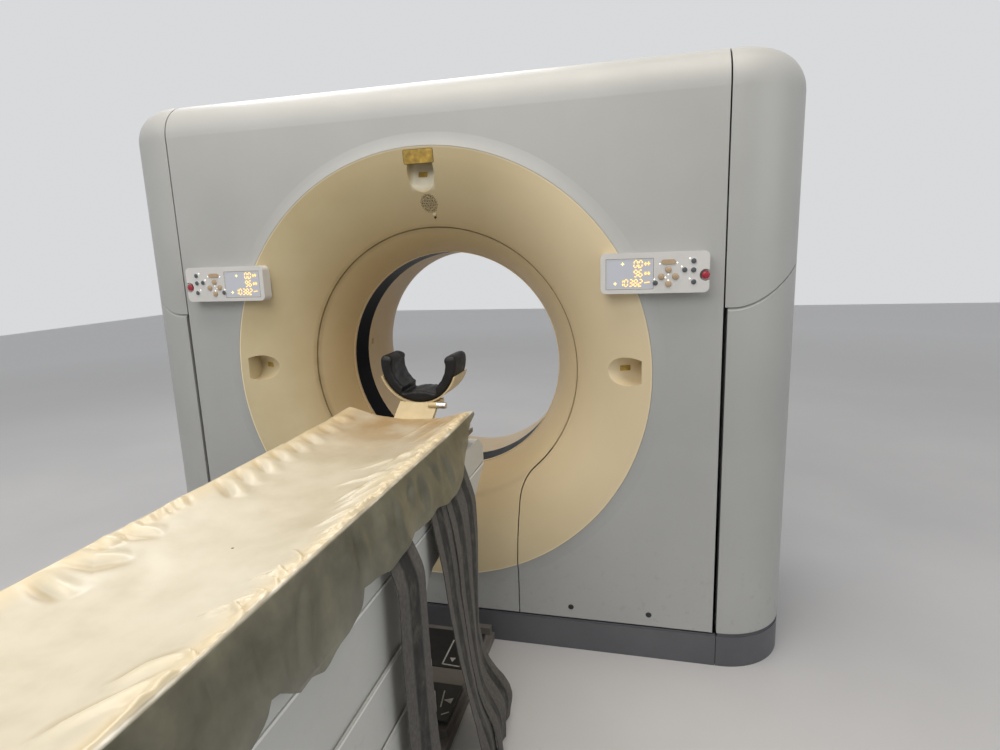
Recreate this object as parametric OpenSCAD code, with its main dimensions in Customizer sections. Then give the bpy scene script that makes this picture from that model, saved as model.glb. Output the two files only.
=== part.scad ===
// Whole-body scanner: a tilting gantry with an 850 mm bore, and a lifting couch with a sliding tabletop.
// The origin is on the floor, straight below the centre of the scan plane.
// +X is to the right seen from the couch, +Y goes into the bore, +Z is up. Sizes are in millimetres.

/* [Gantry covers] */
// Overall width of the gantry
gantry_w = 2450; // [2400:10:2560]
// Overall height of the gantry
gantry_h = 2030; // [2010:5:2080]
// Height of the bore's axis above the floor
iso_z = 1030; // [1020:2:1040]
// Distance from the scan plane to the flat front face
front_depth = 330; // [322:1:338]
// Distance from the scan plane to the flat rear face
rear_depth = 650; // [640:2:670]
// Wall of the moulded covers
cover_t = 6; // [4:0.5:8]
// Radius of the gantry's vertical corners, seen from above
corner_r = 215; // [160:5:225]
// Radius of the rounding along the gantry's top edges
top_r = 130; // [90:5:150]
// Half the width of the middle covers, out to the side seams
seam_x = 985; // [975:1:992]
// Gap at the upper side seams, between covers that tilt together
fine_gap = 5; // [3:0.5:7]
// Gap between the tilting covers and the fixed columns
tilt_gap = 11; // [8:0.5:14]
// Height of the plinth
plinth_h = 118; // [100:1:122]
// Wall of the plinth
plinth_t = 12; // [8:0.5:14]
// Dark gap between the plinth and the covers above it
plinth_gap = 8; // [6:0.5:12]

/* [Bore] */
// Radius of the bore at the scan window
bore_r = 425; // [415:1:430]
// Radius of the front dish at its outer rim
rim_r = 770; // [755:1:780]
// How far the dish's rim stands in front of the flat front face
rim_rise = 10; // [6:0.5:14]
// Radius of the arc that the bell mouth follows, seen in section
mouth_arc = 385; // [375:1:420]
// Radius of the ring seam between the dish and the bore cone
ring_r = 512; // [500:1:540]
// Half the width of the keyhole slot below the bore
keyhole_half = 301; // [280:1:320]
// Radius where the ring seam bends into the slot
keyhole_fillet = 150; // [120:5:170]
// Gap at the keyhole seam
keyhole_gap = 4; // [3:0.5:6]
// Width of the scan window along the bore
window_w = 118; // [100:1:124]
// Thickness of the dish, cone, sleeve and window
shell_t = 5; // [4:0.5:6]
// Straight length of the bore behind the scan plane
sleeve_end = 220; // [205:1:235]
// Radius of the arc that the rear mouth follows
rear_arc = 470; // [450:2:500]
// Radius of the rear mouth at its rim
rear_rim_r = 690; // [670:1:700]

/* [Tilt] */
// Radius of the domed tops of the fixed columns, round the tilt axis
dome_r = 391; // [380:1:400]
// Running gap between the dome and the cover that swings over it
dome_gap = 6; // [4:0.5:8]
// Radius of the trunnions that the gantry tilts on
trunnion_r = 60; // [50:1:70]
// Running clearance of shafts and races
running = 0.05; // [0.02:0.01:0.08]

/* [Rotor] */
// Outer radius of the rotor drum
rotor_r = 800; // [780:2:804]
// Inner radius of the rotor drum
rotor_bore_r = 455; // [450:1:460]
// Radius of the main bearing's running surface
race_r = 530; // [520:1:540]
// Radius of the drive pulley
pulley_r = 60; // [45:1:70]
// Width of the drive belt
belt_w = 30; // [20:1:36]
// Thickness of the drive belt
belt_t = 6; // [4:0.5:8]

/* [Control panels] */
// Width of a control panel
panel_w = 328; // [322:1:336]
// Height of a control panel
panel_h = 126; // [122:1:132]
// Distance that a control panel stands out from the front face
panel_d = 45; // [40:1:55]
// Distance of a control panel's centre from the bore's axis, sideways
panel_x = 771; // [768:1:776]
// Height of a control panel's centre above the bore's axis
panel_z = 335; // [325:1:345]
// Wall of a control panel
panel_t = 3; // [2:0.25:4]
// Radius of the small round keys
key_r = 9.5; // [8:0.25:10]
// Radius of the grey keys
grey_key_r = 8; // [6:0.25:9]
// Radius of the emergency stop's head
stop_r = 12; // [10:0.25:13]
// Gap round each key
key_gap = 0.3; // [0.2:0.05:0.5]

/* [Couch] */
// Length of the tabletop
table_l = 2330; // [2250:10:2400]
// Width of the tabletop
table_w = 430; // [420:1:436]
// Height of the mattress's edges above the floor
table_top_z = 944; // [940:1:950]
// Thickness of the mattress
mattress_t = 46; // [40:1:50]
// How deep the tabletop is dished across its width
table_dish = 26; // [16:1:32]
// Distance of the tabletop's head end in front of the scan plane
head_end = 545; // [540:1:560]
// Height of the upper shell's lower seam
seam_z = 750; // [740:1:765]
// Height of the lower shell's bottom seam
lower_seam_z = 565; // [555:1:570]
// Height of the fixed skirt's top
skirt_z = 418; // [410:1:430]
// Half the width of the couch's upper shell
couch_half = 216; // [210:0.5:217]
// Length of the couch's upper shell
couch_l = 2465; // [2400:5:2500]
// Distance from the scan plane to the tip of the couch's nose
nose = 400; // [395:1:420]
// Distance from the scan plane to the front of the couch's skirts
skirt_front = 1020; // [1010:2:1040]
// Length of the couch's skirts
skirt_l = 1500; // [1400:10:1600]
// Wall of the couch's shells
couch_t = 5; // [4:0.5:6]
// Gap between the nested skirts
skirt_gap = 3; // [2:0.5:4]

/* [Patient supports] */
// Outer radius of the head cushion
cushion_r = 135; // [130:1:145]
// Thickness of the head cushion
cushion_t = 36; // [30:1:40]
// Length of the head cushion along the bore
cushion_l = 131; // [120:1:150]
// How far the sheet hangs down the couch's sides
drape = 150; // [130:1:158]
// Width of the single strap
strap_w = 124; // [100:1:130]
// Height of the strap ends above the floor
strap_end_z = 36; // [25:1:60]

/* [Hidden] */
$fn = 96;

// Touching clearance between pieces that are seated on each other
seat = 0.3;
// A length that runs clear of everything, for cutting tools
far = 4000;
half_w = gantry_w / 2;
front_y = -front_depth;
cover_z = plinth_h + plinth_gap;
rim_y = front_y - rim_rise;
lip_w = 45;
lip_arc = 125;
lip_groove = 2;

// Centre of an arc of radius r through a and b, on the side that lies to the left on the way from a to b
function arc_center(a, b, r) =
    let (m = (a + b) / 2, d = b - a, n = [-d[1], d[0]] / norm(d)) m + n * sqrt(r * r - d * d / 4);

mouth_c = arc_center([bore_r, -window_w / 2], [rim_r, rim_y], mouth_arc);
lip_c = arc_center([rim_r + lip_w, front_y], [rim_r, rim_y], lip_arc);
rear_c = [bore_r + rear_arc, sleeve_end];
rear_rim_y = sleeve_end + sqrt(pow(rear_arc, 2) - pow(rear_c[0] - rear_rim_r, 2));

cream = "#e9dcb4";
grey_paint = "#c3c5c3";
white_paint = "#d9dad6";
plinth_blue = "#8b939a";
dark = "#2a2b2d";
steel = "#8f9296";

module mirror_x(on) { if (on) mirror([1, 0, 0]) children(); else children(); }

// Turns a section drawn as (radius, Y) into a ring round the bore's axis
module around_bore(angle = 360, start = 0) {
    translate([0, 0, iso_z]) rotate([-90, 0, 0]) rotate([0, 0, start])
        rotate_extrude(angle = angle) children();
}

// Extrudes an outline drawn as (X, Z above the bore's axis) along Y, from y0 to y1
module along_y(y0, y1) {
    translate([0, y1, iso_z]) rotate([90, 0, 0]) linear_extrude(y1 - y0) children();
}

// Extrudes an outline drawn as (Y, Z) along X, from x0 to x1
module along_x(x0, x1) {
    translate([x0, 0, 0]) rotate([90, 0, 90]) linear_extrude(x1 - x0) children();
}

// A rectangle from low to high with all its corners rounded
module round_rect(low, high, r) {
    translate([low[0] + r, low[1]]) square([high[0] - low[0] - 2 * r, high[1] - low[1]]);
    translate([low[0], low[1] + r]) square([high[0] - low[0], high[1] - low[1] - 2 * r]);
    for (x = [low[0] + r, high[0] - r], y = [low[1] + r, high[1] - r]) translate([x, y]) circle(r);
}

// A rectangle from low to high with its two upper corners rounded
module top_round(low, high, r) {
    translate(low) square([high[0] - low[0], high[1] - low[1] - r]);
    translate([low[0] + r, high[1] - r]) square([high[0] - low[0] - 2 * r, r]);
    for (x = [low[0] + r, high[0] - r]) translate([x, high[1] - r]) circle(r);
}

// The gantry's outer form: vertical corners and top edges rounded, drawn in by an inset
module cabinet(inset) {
    w = half_w - inset;
    y0 = front_y + inset;
    y1 = rear_depth - inset;
    h = gantry_h - inset;
    r = corner_r - inset;
    t = top_r - inset;
    along_x(-w + r, w - r) top_round([y0, 0], [y1, h], t);
    translate([0, y1 - r, 0]) rotate([90, 0, 0]) linear_extrude(y1 - y0 - 2 * r)
        top_round([-w, 0], [w, h], t);
    for (x = [-w + r, w - r], y = [y0 + r, y1 - r])
        translate([x, y, 0]) rotate_extrude() {
            square([r, h - t]);
            square([r - t, h]);
            translate([r - t, h - t]) intersection() {
                circle(t);
                square(t);
            }
        }
}

module cabinet_shell() {
    difference() {
        cabinet(0);
        translate([0, 0, -1]) cabinet(cover_t);
    }
}

module tilt_disc(r, x0, x1) { translate([x0, 0, iso_z]) rotate([0, 90, 0]) cylinder(r = r, h = x1 - x0); }

// The keyhole outline: the ring seam, and the slot that runs down from it
module keyhole(grow) {
    r = ring_r + grow;
    h = keyhole_half + grow;
    f = keyhole_fillet - grow;
    c = [h + f, -sqrt(pow(r + f, 2) - pow(h + f, 2))];
    touch = c * r / (r + f);
    circle(r);
    translate([-h, -iso_z]) square([2 * h, iso_z]);
    for (s = [-1, 1]) scale_x(s) difference() {
        polygon([[h - 1, c[1]], c, touch, [h - 1, touch[1]]]);
        translate(c) circle(f);
    }
}

module scale_x(s) { if (s < 0) mirror([1, 0]) children(); else children(); }

// Section of the bell mouth, between two radii
module mouth_section(r0, r1) {
    intersection() {
        difference() {
            translate(mouth_c) circle(mouth_arc, $fn = 180);
            translate(mouth_c) circle(mouth_arc - shell_t, $fn = 180);
        }
        translate([r0, rim_y - 1]) square([r1 - r0, -window_w / 2 - rim_y + 1]);
    }
}

// Everything that the skin of the middle front covers, grown by a clearance
module front_skin(grow) {
    around_bore() {
        difference() {
            translate([rim_r - 1, rim_y - grow]) square([lip_w + 1, 200]);
            translate(lip_c) circle(lip_arc - grow, $fn = 180);
        }
        intersection() {
            translate(mouth_c) circle(mouth_arc + grow, $fn = 180);
            translate([bore_r, rim_y - 1 - grow]) square([rim_r - bore_r, 200]);
        }
    }
    translate([-half_w, front_y - grow, 0]) cube([gantry_w, 200, gantry_h]);
}

// The hollow flare by which the flat face rises to the dish's rim, with a fine groove at the rim
module lip() {
    around_bore() {
        difference() {
            intersection() {
                difference() {
                    translate(lip_c) circle(lip_arc + cover_t, $fn = 180);
                    translate(lip_c) circle(lip_arc, $fn = 180);
                }
                translate([rim_r + seat, rim_y - 1]) square([lip_w - seat, rim_rise + cover_t + 8]);
            }
            translate([rim_r - 1, rim_y - 2]) square([lip_groove + 1, lip_groove + 2.5]);
        }
        // the part that joins it to the flat face
        translate([rim_r + lip_w - 3, front_y + 2]) square([6, cover_t - 3]);
    }
}

// Side profile of the middle covers as (Y, Z): their bottom rises to the rear, clear of the floor frame
tub_rear_z = 0.282 * iso_z;
tub_bottom = [[front_y - 1, cover_z], [80, cover_z], [380, 140], [rear_depth + 1, tub_rear_z]];

// The solid that the middle covers are hollowed from
module tub(inset) {
    intersection() {
        cabinet(inset);
        along_x(-seam_x + fine_gap / 2 + inset, seam_x - fine_gap / 2 - inset)
            translate([0, inset]) polygon(concat(tub_bottom, [[rear_depth + 1, far], [front_y - 1, far]]));
    }
}

// Inner side walls and the bottom of the middle covers, from y0 to y1
module tub_walls(y0, y1) {
    difference() {
        intersection() {
            tub(0);
            translate([-far, y0, 0]) cube([2 * far, y1 - y0, iso_z + 208]);
        }
        tub(cover_t);
        translate([-seam_x + 20, front_y - 10, iso_z - 720]) cube([2 * seam_x - 40, 2 * far, far]);
        tilt_disc(trunnion_r + 8, -seam_x, seam_x);
    }
}

// The grey skin round the dish, before it is divided at the keyhole
module front_skin_panel() {
    difference() {
        intersection() {
            cabinet_shell();
            translate([-seam_x + fine_gap / 2, front_y - 1, cover_z])
                cube([2 * seam_x - fine_gap, front_depth + 1 - fine_gap / 2, gantry_h]);
        }
        around_bore() translate([0, front_y - 1]) square([rim_r + lip_w, cover_t + 2]);
    }
    intersection() {
        lip();
        translate([-far, -far, cover_z]) cube([2 * far, 2 * far, gantry_h]);
    }
}

screw_x = [493, 768];
screw_z = 168;
screw_r = 7;

module at_screws() {
    for (s = [-1, 1], x = screw_x) translate([s * x, front_y, screw_z]) rotate([-90, 0, 0]) children();
}

module front_cover() color(grey_paint) difference() {
    union() {
        difference() {
            front_skin_panel();
            along_y(front_y - far, 0) keyhole_slot(keyhole_gap / 2);
        }
        difference() {
            tub_walls(front_y, -fine_gap / 2);
            translate([-keyhole_half - keyhole_gap / 2, front_y - 1, 0])
                cube([2 * keyhole_half + keyhole_gap, cover_t + 12, iso_z]);
        }
        at_screws() translate([0, 0, cover_t - 1]) cylinder(r = screw_r + 8, h = 21);
    }
    at_screws() translate([0, 0, -1]) cylinder(r = screw_r, h = far);
}

// The slot alone, below the dish's rim
module keyhole_slot(grow) {
    translate([-keyhole_half - grow, -iso_z]) square([2 * (keyhole_half + grow), iso_z]);
}

module center_panel() color(grey_paint) intersection() {
    front_skin_panel();
    along_y(front_y - far, 0) keyhole_slot(-keyhole_gap / 2);
    translate([-far, -far, 0]) cube([2 * far, 2 * far, iso_z - 400]);
}

module cover_screws() color(dark) at_screws() translate([0, 0, 9]) difference() {
    cylinder(r = screw_r - seat, h = 20);
    translate([0, 0, -1]) cylinder(r = 3, h = 6, $fn = 6);
}

// Laser scoops: half-round pockets, at both sides and at the top, whose floor runs out towards the bore
scoop_r = 48;
scoop_x = 736;
scoop_slope = 24;
scoop_lift = 12;
scoop_top_x = 4;

// The pocket lies on the bore's +X side; turned, it lies at 12 o'clock, and lift moves it sideways
module scoop_tool(grow, turn, lift) {
    translate([0, 0, iso_z]) rotate([0, turn, 0]) intersection() {
        translate([scoop_x, front_y + 26, lift]) rotate([0, 0, scoop_slope]) rotate([0, 90, 0])
            translate([0, 0, -190]) cylinder(r = scoop_r + grow, h = 380);
        translate([scoop_x - 200, -far, -200]) cube([200 + grow, 2 * far, 400]);
    }
}

module scoops(grow) {
    for (s = [0, 1]) mirror_x(s == 1) scoop_tool(grow, 0, scoop_lift);
    scoop_tool(grow, -90, -scoop_top_x);
}

grille_z = 590;
grille_r = 31;
grille_hole_r = 2.2;
grille_pitch = 8;

// Holes of the loudspeaker grille, on rings
module grille_holes() {
    for (ring = [0 : 3], i = [0 : max(0, 6 * ring - 1)])
        rotate(i * 360 / max(1, 6 * ring)) translate([ring * grille_pitch, 0])
            circle(grille_hole_r, $fn = 12);
}

module front_dish() color(cream) difference() {
    union() {
        around_bore() mouth_section(bore_r, rim_r);
        difference() {
            intersection() {
                scoops(5);
                around_bore() translate(mouth_c) circle(mouth_arc - 1, $fn = 180);
            }
            scoops(0);
        }
    }
    intersection() {
        scoops(0);
        translate([-far, front_y - 60, 0]) cube([2 * far, 160, far]);
    }
    along_y(front_y - far, far) keyhole(keyhole_gap / 2);
    along_y(front_y - far, 0) translate([13, grille_z]) grille_holes();
    along_y(front_y - far, 0) translate([20, grille_z - 47]) circle(4);
}

module bore_cone() color(cream) {
    difference() {
        intersection() {
            around_bore() mouth_section(bore_r, rim_r - seat);
            along_y(front_y - far, far) keyhole(-keyhole_gap / 2);
        }
        around_bore() translate([bore_r - 1, -window_w / 2 - seat / 100]) square([far, far]);
    }
    // flange that carries the dish's inner edge, behind the seam
    intersection() {
        around_bore() difference() {
            intersection() {
                translate(mouth_c) circle(mouth_arc - shell_t, $fn = 180);
                translate([ring_r - 14, rim_y]) square([32, 400]);
            }
            translate(mouth_c) circle(mouth_arc - shell_t - 4, $fn = 180);
            translate([0, 0]) square([far, far]);
        }
        translate([-far, -far, iso_z - 300]) cube([2 * far, 2 * far, far]);
    }
    around_bore() translate([bore_r, -window_w / 2 - 12]) square([16, 12]);
}

module scan_window() color("#101113") around_bore() {
    translate([bore_r, -window_w / 2]) square([shell_t, window_w]);
    translate([bore_r + shell_t, -window_w / 2]) square([6, 4]);
    translate([bore_r + shell_t, window_w / 2 - 4]) square([6, 4]);
}

module rear_cone() color(cream) around_bore() {
    translate([bore_r, window_w / 2]) square([shell_t, sleeve_end - window_w / 2]);
    intersection() {
        difference() {
            translate(rear_c) circle(rear_arc, $fn = 180);
            translate(rear_c) circle(rear_arc - shell_t, $fn = 180);
        }
        translate([bore_r, sleeve_end]) square([rear_rim_r - bore_r, far]);
    }
}

module rear_cover() color(grey_paint) difference() {
    union() {
        intersection() {
            cabinet_shell();
            translate([-seam_x + fine_gap / 2, fine_gap / 2, tub_rear_z])
                cube([2 * seam_x - fine_gap, far, gantry_h]);
        }
        tub_walls(fine_gap / 2, rear_depth);
        around_bore() translate([rear_rim_r + seat, rear_rim_y - 8])
            square([18, rear_depth - rear_rim_y + 8]);
    }
    around_bore() translate([0, rear_rim_y - 9]) square([rear_rim_r + seat, far]);
}

upper_z = iso_z + sqrt(pow(dome_r, 2) - pow(front_depth, 2)) + dome_gap;

module upper_cover() color(grey_paint) difference() {
    intersection() {
        union() {
            cabinet_shell();
            intersection() {
                cabinet(1);
                translate([0, 300, upper_z]) cube([far, far, cover_t]);
            }
        }
        translate([seam_x + fine_gap / 2, -far, upper_z]) cube([far, 2 * far, gantry_h]);
    }
    tilt_disc(dome_r + dome_gap, 0, far);
}

module upper_cover_right() {
    upper_cover();
    upper_cover_brackets();
}

// Brackets that carry an upper side cover from the tilt frame's posts
module upper_cover_brackets() color(grey_paint)
    for (y = [-75, 400])
        translate([post_x + post_w / 2 + seat, y, iso_z + post_z - 20])
            cube([half_w - cover_t + 1 - post_x - post_w / 2 - seat, 30, 40]);

module upper_cover_left() mirror([1, 0, 0]) upper_cover_right();

column_x = seam_x + tilt_gap;

// Plan of a fixed column, drawn in by an inset
module column_plan(inset) {
    w = half_w - inset;
    y = front_depth - inset;
    r = corner_r - inset;
    x0 = column_x + inset;
    translate([x0, -y]) square([w - r - x0, 2 * y]);
    translate([x0, -y + r]) square([w - x0, 2 * y - 2 * r]);
    for (s = [-1, 1]) translate([w - r, s * (y - r)]) intersection() {
        circle(r);
        translate([x0 - w + r, -far]) square([far, 2 * far]);
    }
}

// A fixed column: straight sides under a dome round the tilt axis
module column_solid(inset) {
    intersection() {
        linear_extrude(gantry_h) column_plan(inset);
        union() {
            translate([column_x - 1, -front_depth - 1, 0]) cube([half_w, 2 * front_depth + 2, iso_z]);
            tilt_disc(dome_r - inset, column_x - 1, half_w + 1);
        }
    }
}

module side_cover_right() color(grey_paint) {
    side_wall();
    side_pads();
}

module side_wall() difference() {
    column_solid(0);
    column_solid(cover_t);
    translate([0, -far, -1]) cube([far, 2 * far, cover_z + 1]);
    tilt_disc(trunnion_r + 15, column_x - 1, column_x + cover_t + 1);
    // open inner side below the pivot, where the floor frame and the stand pass
    translate([column_x - 1, -front_depth + 60, 0]) cube([cover_t + 2, 2 * front_depth - 120, iso_z - 260]);
}

// Pads that seat a column's cover against its stand
module side_pads() {
    for (y = [-95, 65], z = [-190, 86]) translate([column_x + cover_t - 1, y, iso_z + z])
        cube([stand_x - seat - column_x - cover_t + 1, 30, 30]);
}

module side_cover_left() mirror([1, 0, 0]) side_cover_right();

// Leaves the plinth open towards the floor frame
module plinth_mouth() {
    translate([0, -front_depth + plinth_t]) square([column_x + plinth_t + 1, 2 * (front_depth - plinth_t)]);
}

module plinth_right() color(plinth_blue) {
    linear_extrude(plinth_h - 6) difference() {
        column_plan(0);
        column_plan(plinth_t);
        plinth_mouth();
    }
    linear_extrude(plinth_h) difference() {
        column_plan(3);
        column_plan(plinth_t);
        plinth_mouth();
    }
    // set-back ledge that the column's cover stands on
    linear_extrude(cover_z) difference() {
        column_plan(cover_t - 2);
        column_plan(plinth_t);
        plinth_mouth();
    }
}

module plinth_left() mirror([1, 0, 0]) plinth_right();

module plinth_front() color(plinth_blue) {
    translate([-column_x + 2, front_y, 0]) cube([2 * column_x - 4, plinth_t, plinth_h - 6]);
    translate([-column_x + 2, front_y + 3, 0]) cube([2 * column_x - 4, plinth_t - 3, plinth_h]);
}

rear_base_t = 8;
rear_base_h = 0.25 * iso_z;

module rear_base_cover() color(grey_paint) {
    translate([-column_x + 2, rear_depth - rear_base_t, 0])
        cube([2 * column_x - 4, rear_base_t, rear_base_h]);
    for (s = [0, 1]) mirror_x(s == 1) translate([column_x - 8, front_depth + 2, 0])
        cube([6, rear_depth - front_depth - 2, rear_base_h]);
}

frame_h = 60;
member_h = 38;
floor_plate_t = 12;
stand_x = column_x + 14;
stand_t = 0.35 * (half_w - column_x);
skid_w = stand_t + 30;
stand_mid = stand_x + stand_t / 2;
bracket_x = stand_mid + skid_w / 2 - 5;

module base_frame() color(dark) {
    y0 = front_y + plinth_t;
    y1 = rear_depth - rear_base_t;
    for (s = [-1, 1]) translate([s * stand_mid - skid_w / 2, -290, 0]) cube([skid_w, 580, frame_h]);
    translate([-column_x, y0, 0]) cube([2 * column_x, -2 * y0, floor_plate_t]);
    translate([-column_x + 9, -y0 - 1, 0]) cube([2 * column_x - 18, y1 + y0 + 1, floor_plate_t]);
    for (y = [y0, -90, 90]) translate([-column_x, y, 0]) cube([2 * column_x, 60, member_h]);
    translate([-column_x + 9, y1 - 60, 0]) cube([2 * column_x - 18, 60, member_h]);
    // brackets that carry the columns' covers and plinths
    for (s = [0, 1]) mirror_x(s == 1) translate([bracket_x, -60, 0])
        cube([half_w - plinth_t - bracket_x, 120, frame_h]);
}

module stand_right() color(steel) difference() {
    along_x(stand_x, stand_x + stand_t) {
        polygon([[-260, frame_h], [260, frame_h], [110, iso_z], [-110, iso_z]]);
        translate([0, iso_z]) circle(125);
    }
    tilt_disc(trunnion_r + running, stand_x - 1, stand_x + stand_t + 1);
    for (z = [230, 470, 680]) translate([stand_x - 1, 0, z]) rotate([0, 90, 0])
        cylinder(r = 0.19 * (iso_z - z) - 30, h = stand_t + 2);
}

module stand_left() mirror([1, 0, 0]) stand_right();

post_x = seam_x - 85;
post_w = 50;
post_z = 560;
plate_y = 150;
plate_t = 40;

module tilt_frame() color(steel) {
    along_y(plate_y, plate_y + plate_t) difference() {
        union() {
            circle(seam_x - 115);
            translate(drive_at) circle(120);
        }
        circle(race_r + 30);
        translate(drive_at) circle(26);
    }
    for (s = [-1, 1]) translate([s * (seam_x - 90) - 55, -110, iso_z - 110])
        cube([110, plate_y + plate_t + 110, 220]);
    for (s = [-1, 1], z = [-post_z, post_z]) {
        translate([s * post_x - post_w / 2, front_y + cover_t, iso_z + z - post_w / 2])
            cube([post_w, rear_depth + front_depth - 2 * cover_t, post_w]);
        translate([s * (post_x - 130) - 130, plate_y, iso_z + z - 30]) cube([260, plate_t, 60]);
    }
    for (s = [0, 1]) mirror_x(s == 1) tilt_disc(trunnion_r, seam_x - 36, stand_x + stand_t + 12);
}

module bearing_outer() color(steel) around_bore() {
    translate([race_r + running, plate_y - 40]) square([30 - running, plate_t + 40]);
    translate([race_r + running, plate_y - 40]) square([60, 40]);
}

module rotor_drum() color("#9a9ea3") {
    around_bore() {
        translate([rotor_bore_r, 60]) square([rotor_r - rotor_bore_r, 25]);
        translate([rotor_bore_r, 60]) square([12, 130]);
        translate([race_r - 40, 60]) square([40, 130]);
        translate([rotor_r - 20, 60]) square([20, 40]);
    }
    around_bore() translate([rotor_bore_r, -90]) square([8, 151]);
}

module on_rotor(x, z, turn) { translate([0, 0, iso_z]) rotate([0, turn, 0]) translate([x, 0, z]) children(); }

module xray_tube() color("#b4b7ba") {
    on_rotor(0, 700, 0) translate([-130, -90, -60]) cube([260, 149.7, 120]);
    on_rotor(0, 620, 0) translate([-60, -60, -40]) cube([120, 119.7, 60]);
    on_rotor(0, 700, 0) translate([-190, -15, 0]) rotate([0, 90, 0]) cylinder(r = 55, h = 380);
}

module hv_tank() color("#c8c9c6") for (a = [62, -62]) on_rotor(0, 700, a)
    translate([-130, -90, -70]) cube([260, 149.7, 140]);

module detector() color("#3b4046") translate([0, 0, iso_z]) rotate([-90, 0, 0]) translate([0, 0, -70])
    rotate([0, 0, 62]) rotate_extrude(angle = 56) translate([640, 0]) square([110, 129.7]);

module slip_ring() color("#b08d57") around_bore() difference() {
    translate([rotor_r - 150, 85]) square([60, 22]);
    for (i = [0 : 3]) translate([rotor_r - 145 + 14 * i, 100]) square([6, 10]);
}

drive_at = [690, -690];
belt_y = 62;

module belt_outline(grow) {
    d = norm(drive_at);
    u = drive_at / d;
    big = rotor_r + grow;
    small = pulley_r + grow;
    side = acos((big - small) / d);
    a = atan2(u[1], u[0]);
    circle(big, $fn = 180);
    translate(drive_at) circle(small);
    polygon([
        big * [cos(a + side), sin(a + side)],
        drive_at + small * [cos(a + side), sin(a + side)],
        drive_at + small * [cos(a - side), sin(a - side)],
        big * [cos(a - side), sin(a - side)],
    ]);
}

module drive_belt() color("#26272a") along_y(belt_y, belt_y + belt_w) difference() {
    belt_outline(seat + belt_t);
    belt_outline(seat);
}

module drive_pulley() color(steel) along_y(belt_y - 4, belt_y + belt_w + 40)
    translate(drive_at) difference() {
        circle(pulley_r);
        circle(14 + running);
    }

module drive_motor() color("#54585c") {
    along_y(belt_y - 20, plate_y + plate_t + 1) translate(drive_at) circle(14);
    along_y(plate_y + plate_t, plate_y + plate_t + 190) translate(drive_at) circle(85);
}

// Control panel, drawn for the bore's right side about its own centre
panel_r = 17;
panel_face = front_y - panel_d;
display_at = [-74.5, -2.5];
display_size = [139, 88];
rocker_at = [43, 32];
rocker_size = [42, 14];
key_up_at = [43, 8];
key_down_at = [43, -35];
key_in_at = [22, -13];
key_out_at = [64, -13];
stop_at = [153, -10];
grey_keys_at = [[4, -31], [91, 7], [117, 6], [117, 33], [118, -30]];
key_rise = 3;
stop_floor = panel_face + 25;

module on_panel(at, y0, y1) {
    translate([0, 0, panel_z]) along_y(y0, y1) translate([panel_x + at[0], at[1]]) children();
}

module box_2d(size) { translate(-size / 2) square(size); }

module rocker_outline(grow) {
    reach = (rocker_size[0] - rocker_size[1]) / 2;
    box_2d([2 * reach, rocker_size[1] + 2 * grow]);
    for (s = [-1, 1]) translate([s * reach, 0]) circle(rocker_size[1] / 2 + grow);
}

module panel_outline(inset) {
    reach = [panel_w / 2 - inset, panel_h / 2 - inset];
    round_rect(-reach, reach, panel_r - inset);
}

module panel_housing_right() color("#d6d7d5") difference() {
    union() {
        difference() {
            on_panel([0, 0], panel_face, front_y + 60) panel_outline(0);
            on_panel([0, 0], panel_face + panel_t, front_y + 61) panel_outline(panel_t);
        }
        on_panel([0, 0], panel_face, stop_floor + panel_t) intersection() {
            translate(stop_at) circle(stop_r + 9);
            panel_outline(0);
        }
        for (at = grey_keys_at) on_panel(at, panel_face - key_rise, panel_face + panel_t) circle(grey_key_r);
    }
    front_skin(seat);
    on_panel(display_at, panel_face - 1, panel_face + panel_t + 1) box_2d(display_size);
    on_panel(rocker_at, panel_face - 1, panel_face + panel_t + 1) rocker_outline(key_gap);
    for (at = [key_up_at, key_down_at, key_in_at, key_out_at])
        on_panel(at, panel_face - 1, panel_face + panel_t + 1) circle(key_r + key_gap);
    on_panel(stop_at, panel_face - 1, stop_floor) circle(stop_r + 6);
    on_panel(stop_at, panel_face - 1, stop_floor + panel_t + 1) circle(5 + key_gap);
}

module panel_housing_left() mirror([1, 0, 0]) panel_housing_right();

module display_right() color("#dfe3f4") {
    on_panel(display_at, panel_face + panel_t, panel_face + panel_t + 8) box_2d(display_size + [6, 6]);
    on_panel(display_at, panel_face + 0.6, panel_face + panel_t) box_2d(display_size - [0.6, 0.6]);
}

module display_left() mirror([1, 0, 0]) display_right();

// A key: its cap in the housing's hole, and the flange behind the wall that holds it
module key(at) color("#d8cfae") {
    on_panel(at, panel_face - key_rise, panel_face + panel_t + 3) circle(key_r);
    on_panel(at, panel_face + panel_t + seat, panel_face + panel_t + 3) circle(key_r + 1.2);
}

module rocker_right() color("#d8cfae") {
    on_panel(rocker_at, panel_face - key_rise, panel_face + panel_t + 3) rocker_outline(0);
    on_panel(rocker_at, panel_face + panel_t + seat, panel_face + panel_t + 3) rocker_outline(1);
}

module rocker_left() mirror([1, 0, 0]) rocker_right();
module key_up_right() key(key_up_at);
module key_up_left() mirror([1, 0, 0]) key(key_up_at);
module key_down_right() key(key_down_at);
module key_down_left() mirror([1, 0, 0]) key(key_down_at);
module key_in_right() key(key_in_at);
module key_in_left() mirror([1, 0, 0]) key(key_in_at);
module key_out_right() key(key_out_at);
module key_out_left() mirror([1, 0, 0]) key(key_out_at);

module stop_right() color("#b3262b") {
    on_panel(stop_at, panel_face + 2, panel_face + 16) circle(stop_r);
    on_panel(stop_at, panel_face + 15, stop_floor + panel_t + 6) circle(5);
}

module stop_left() mirror([1, 0, 0]) stop_right();

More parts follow.
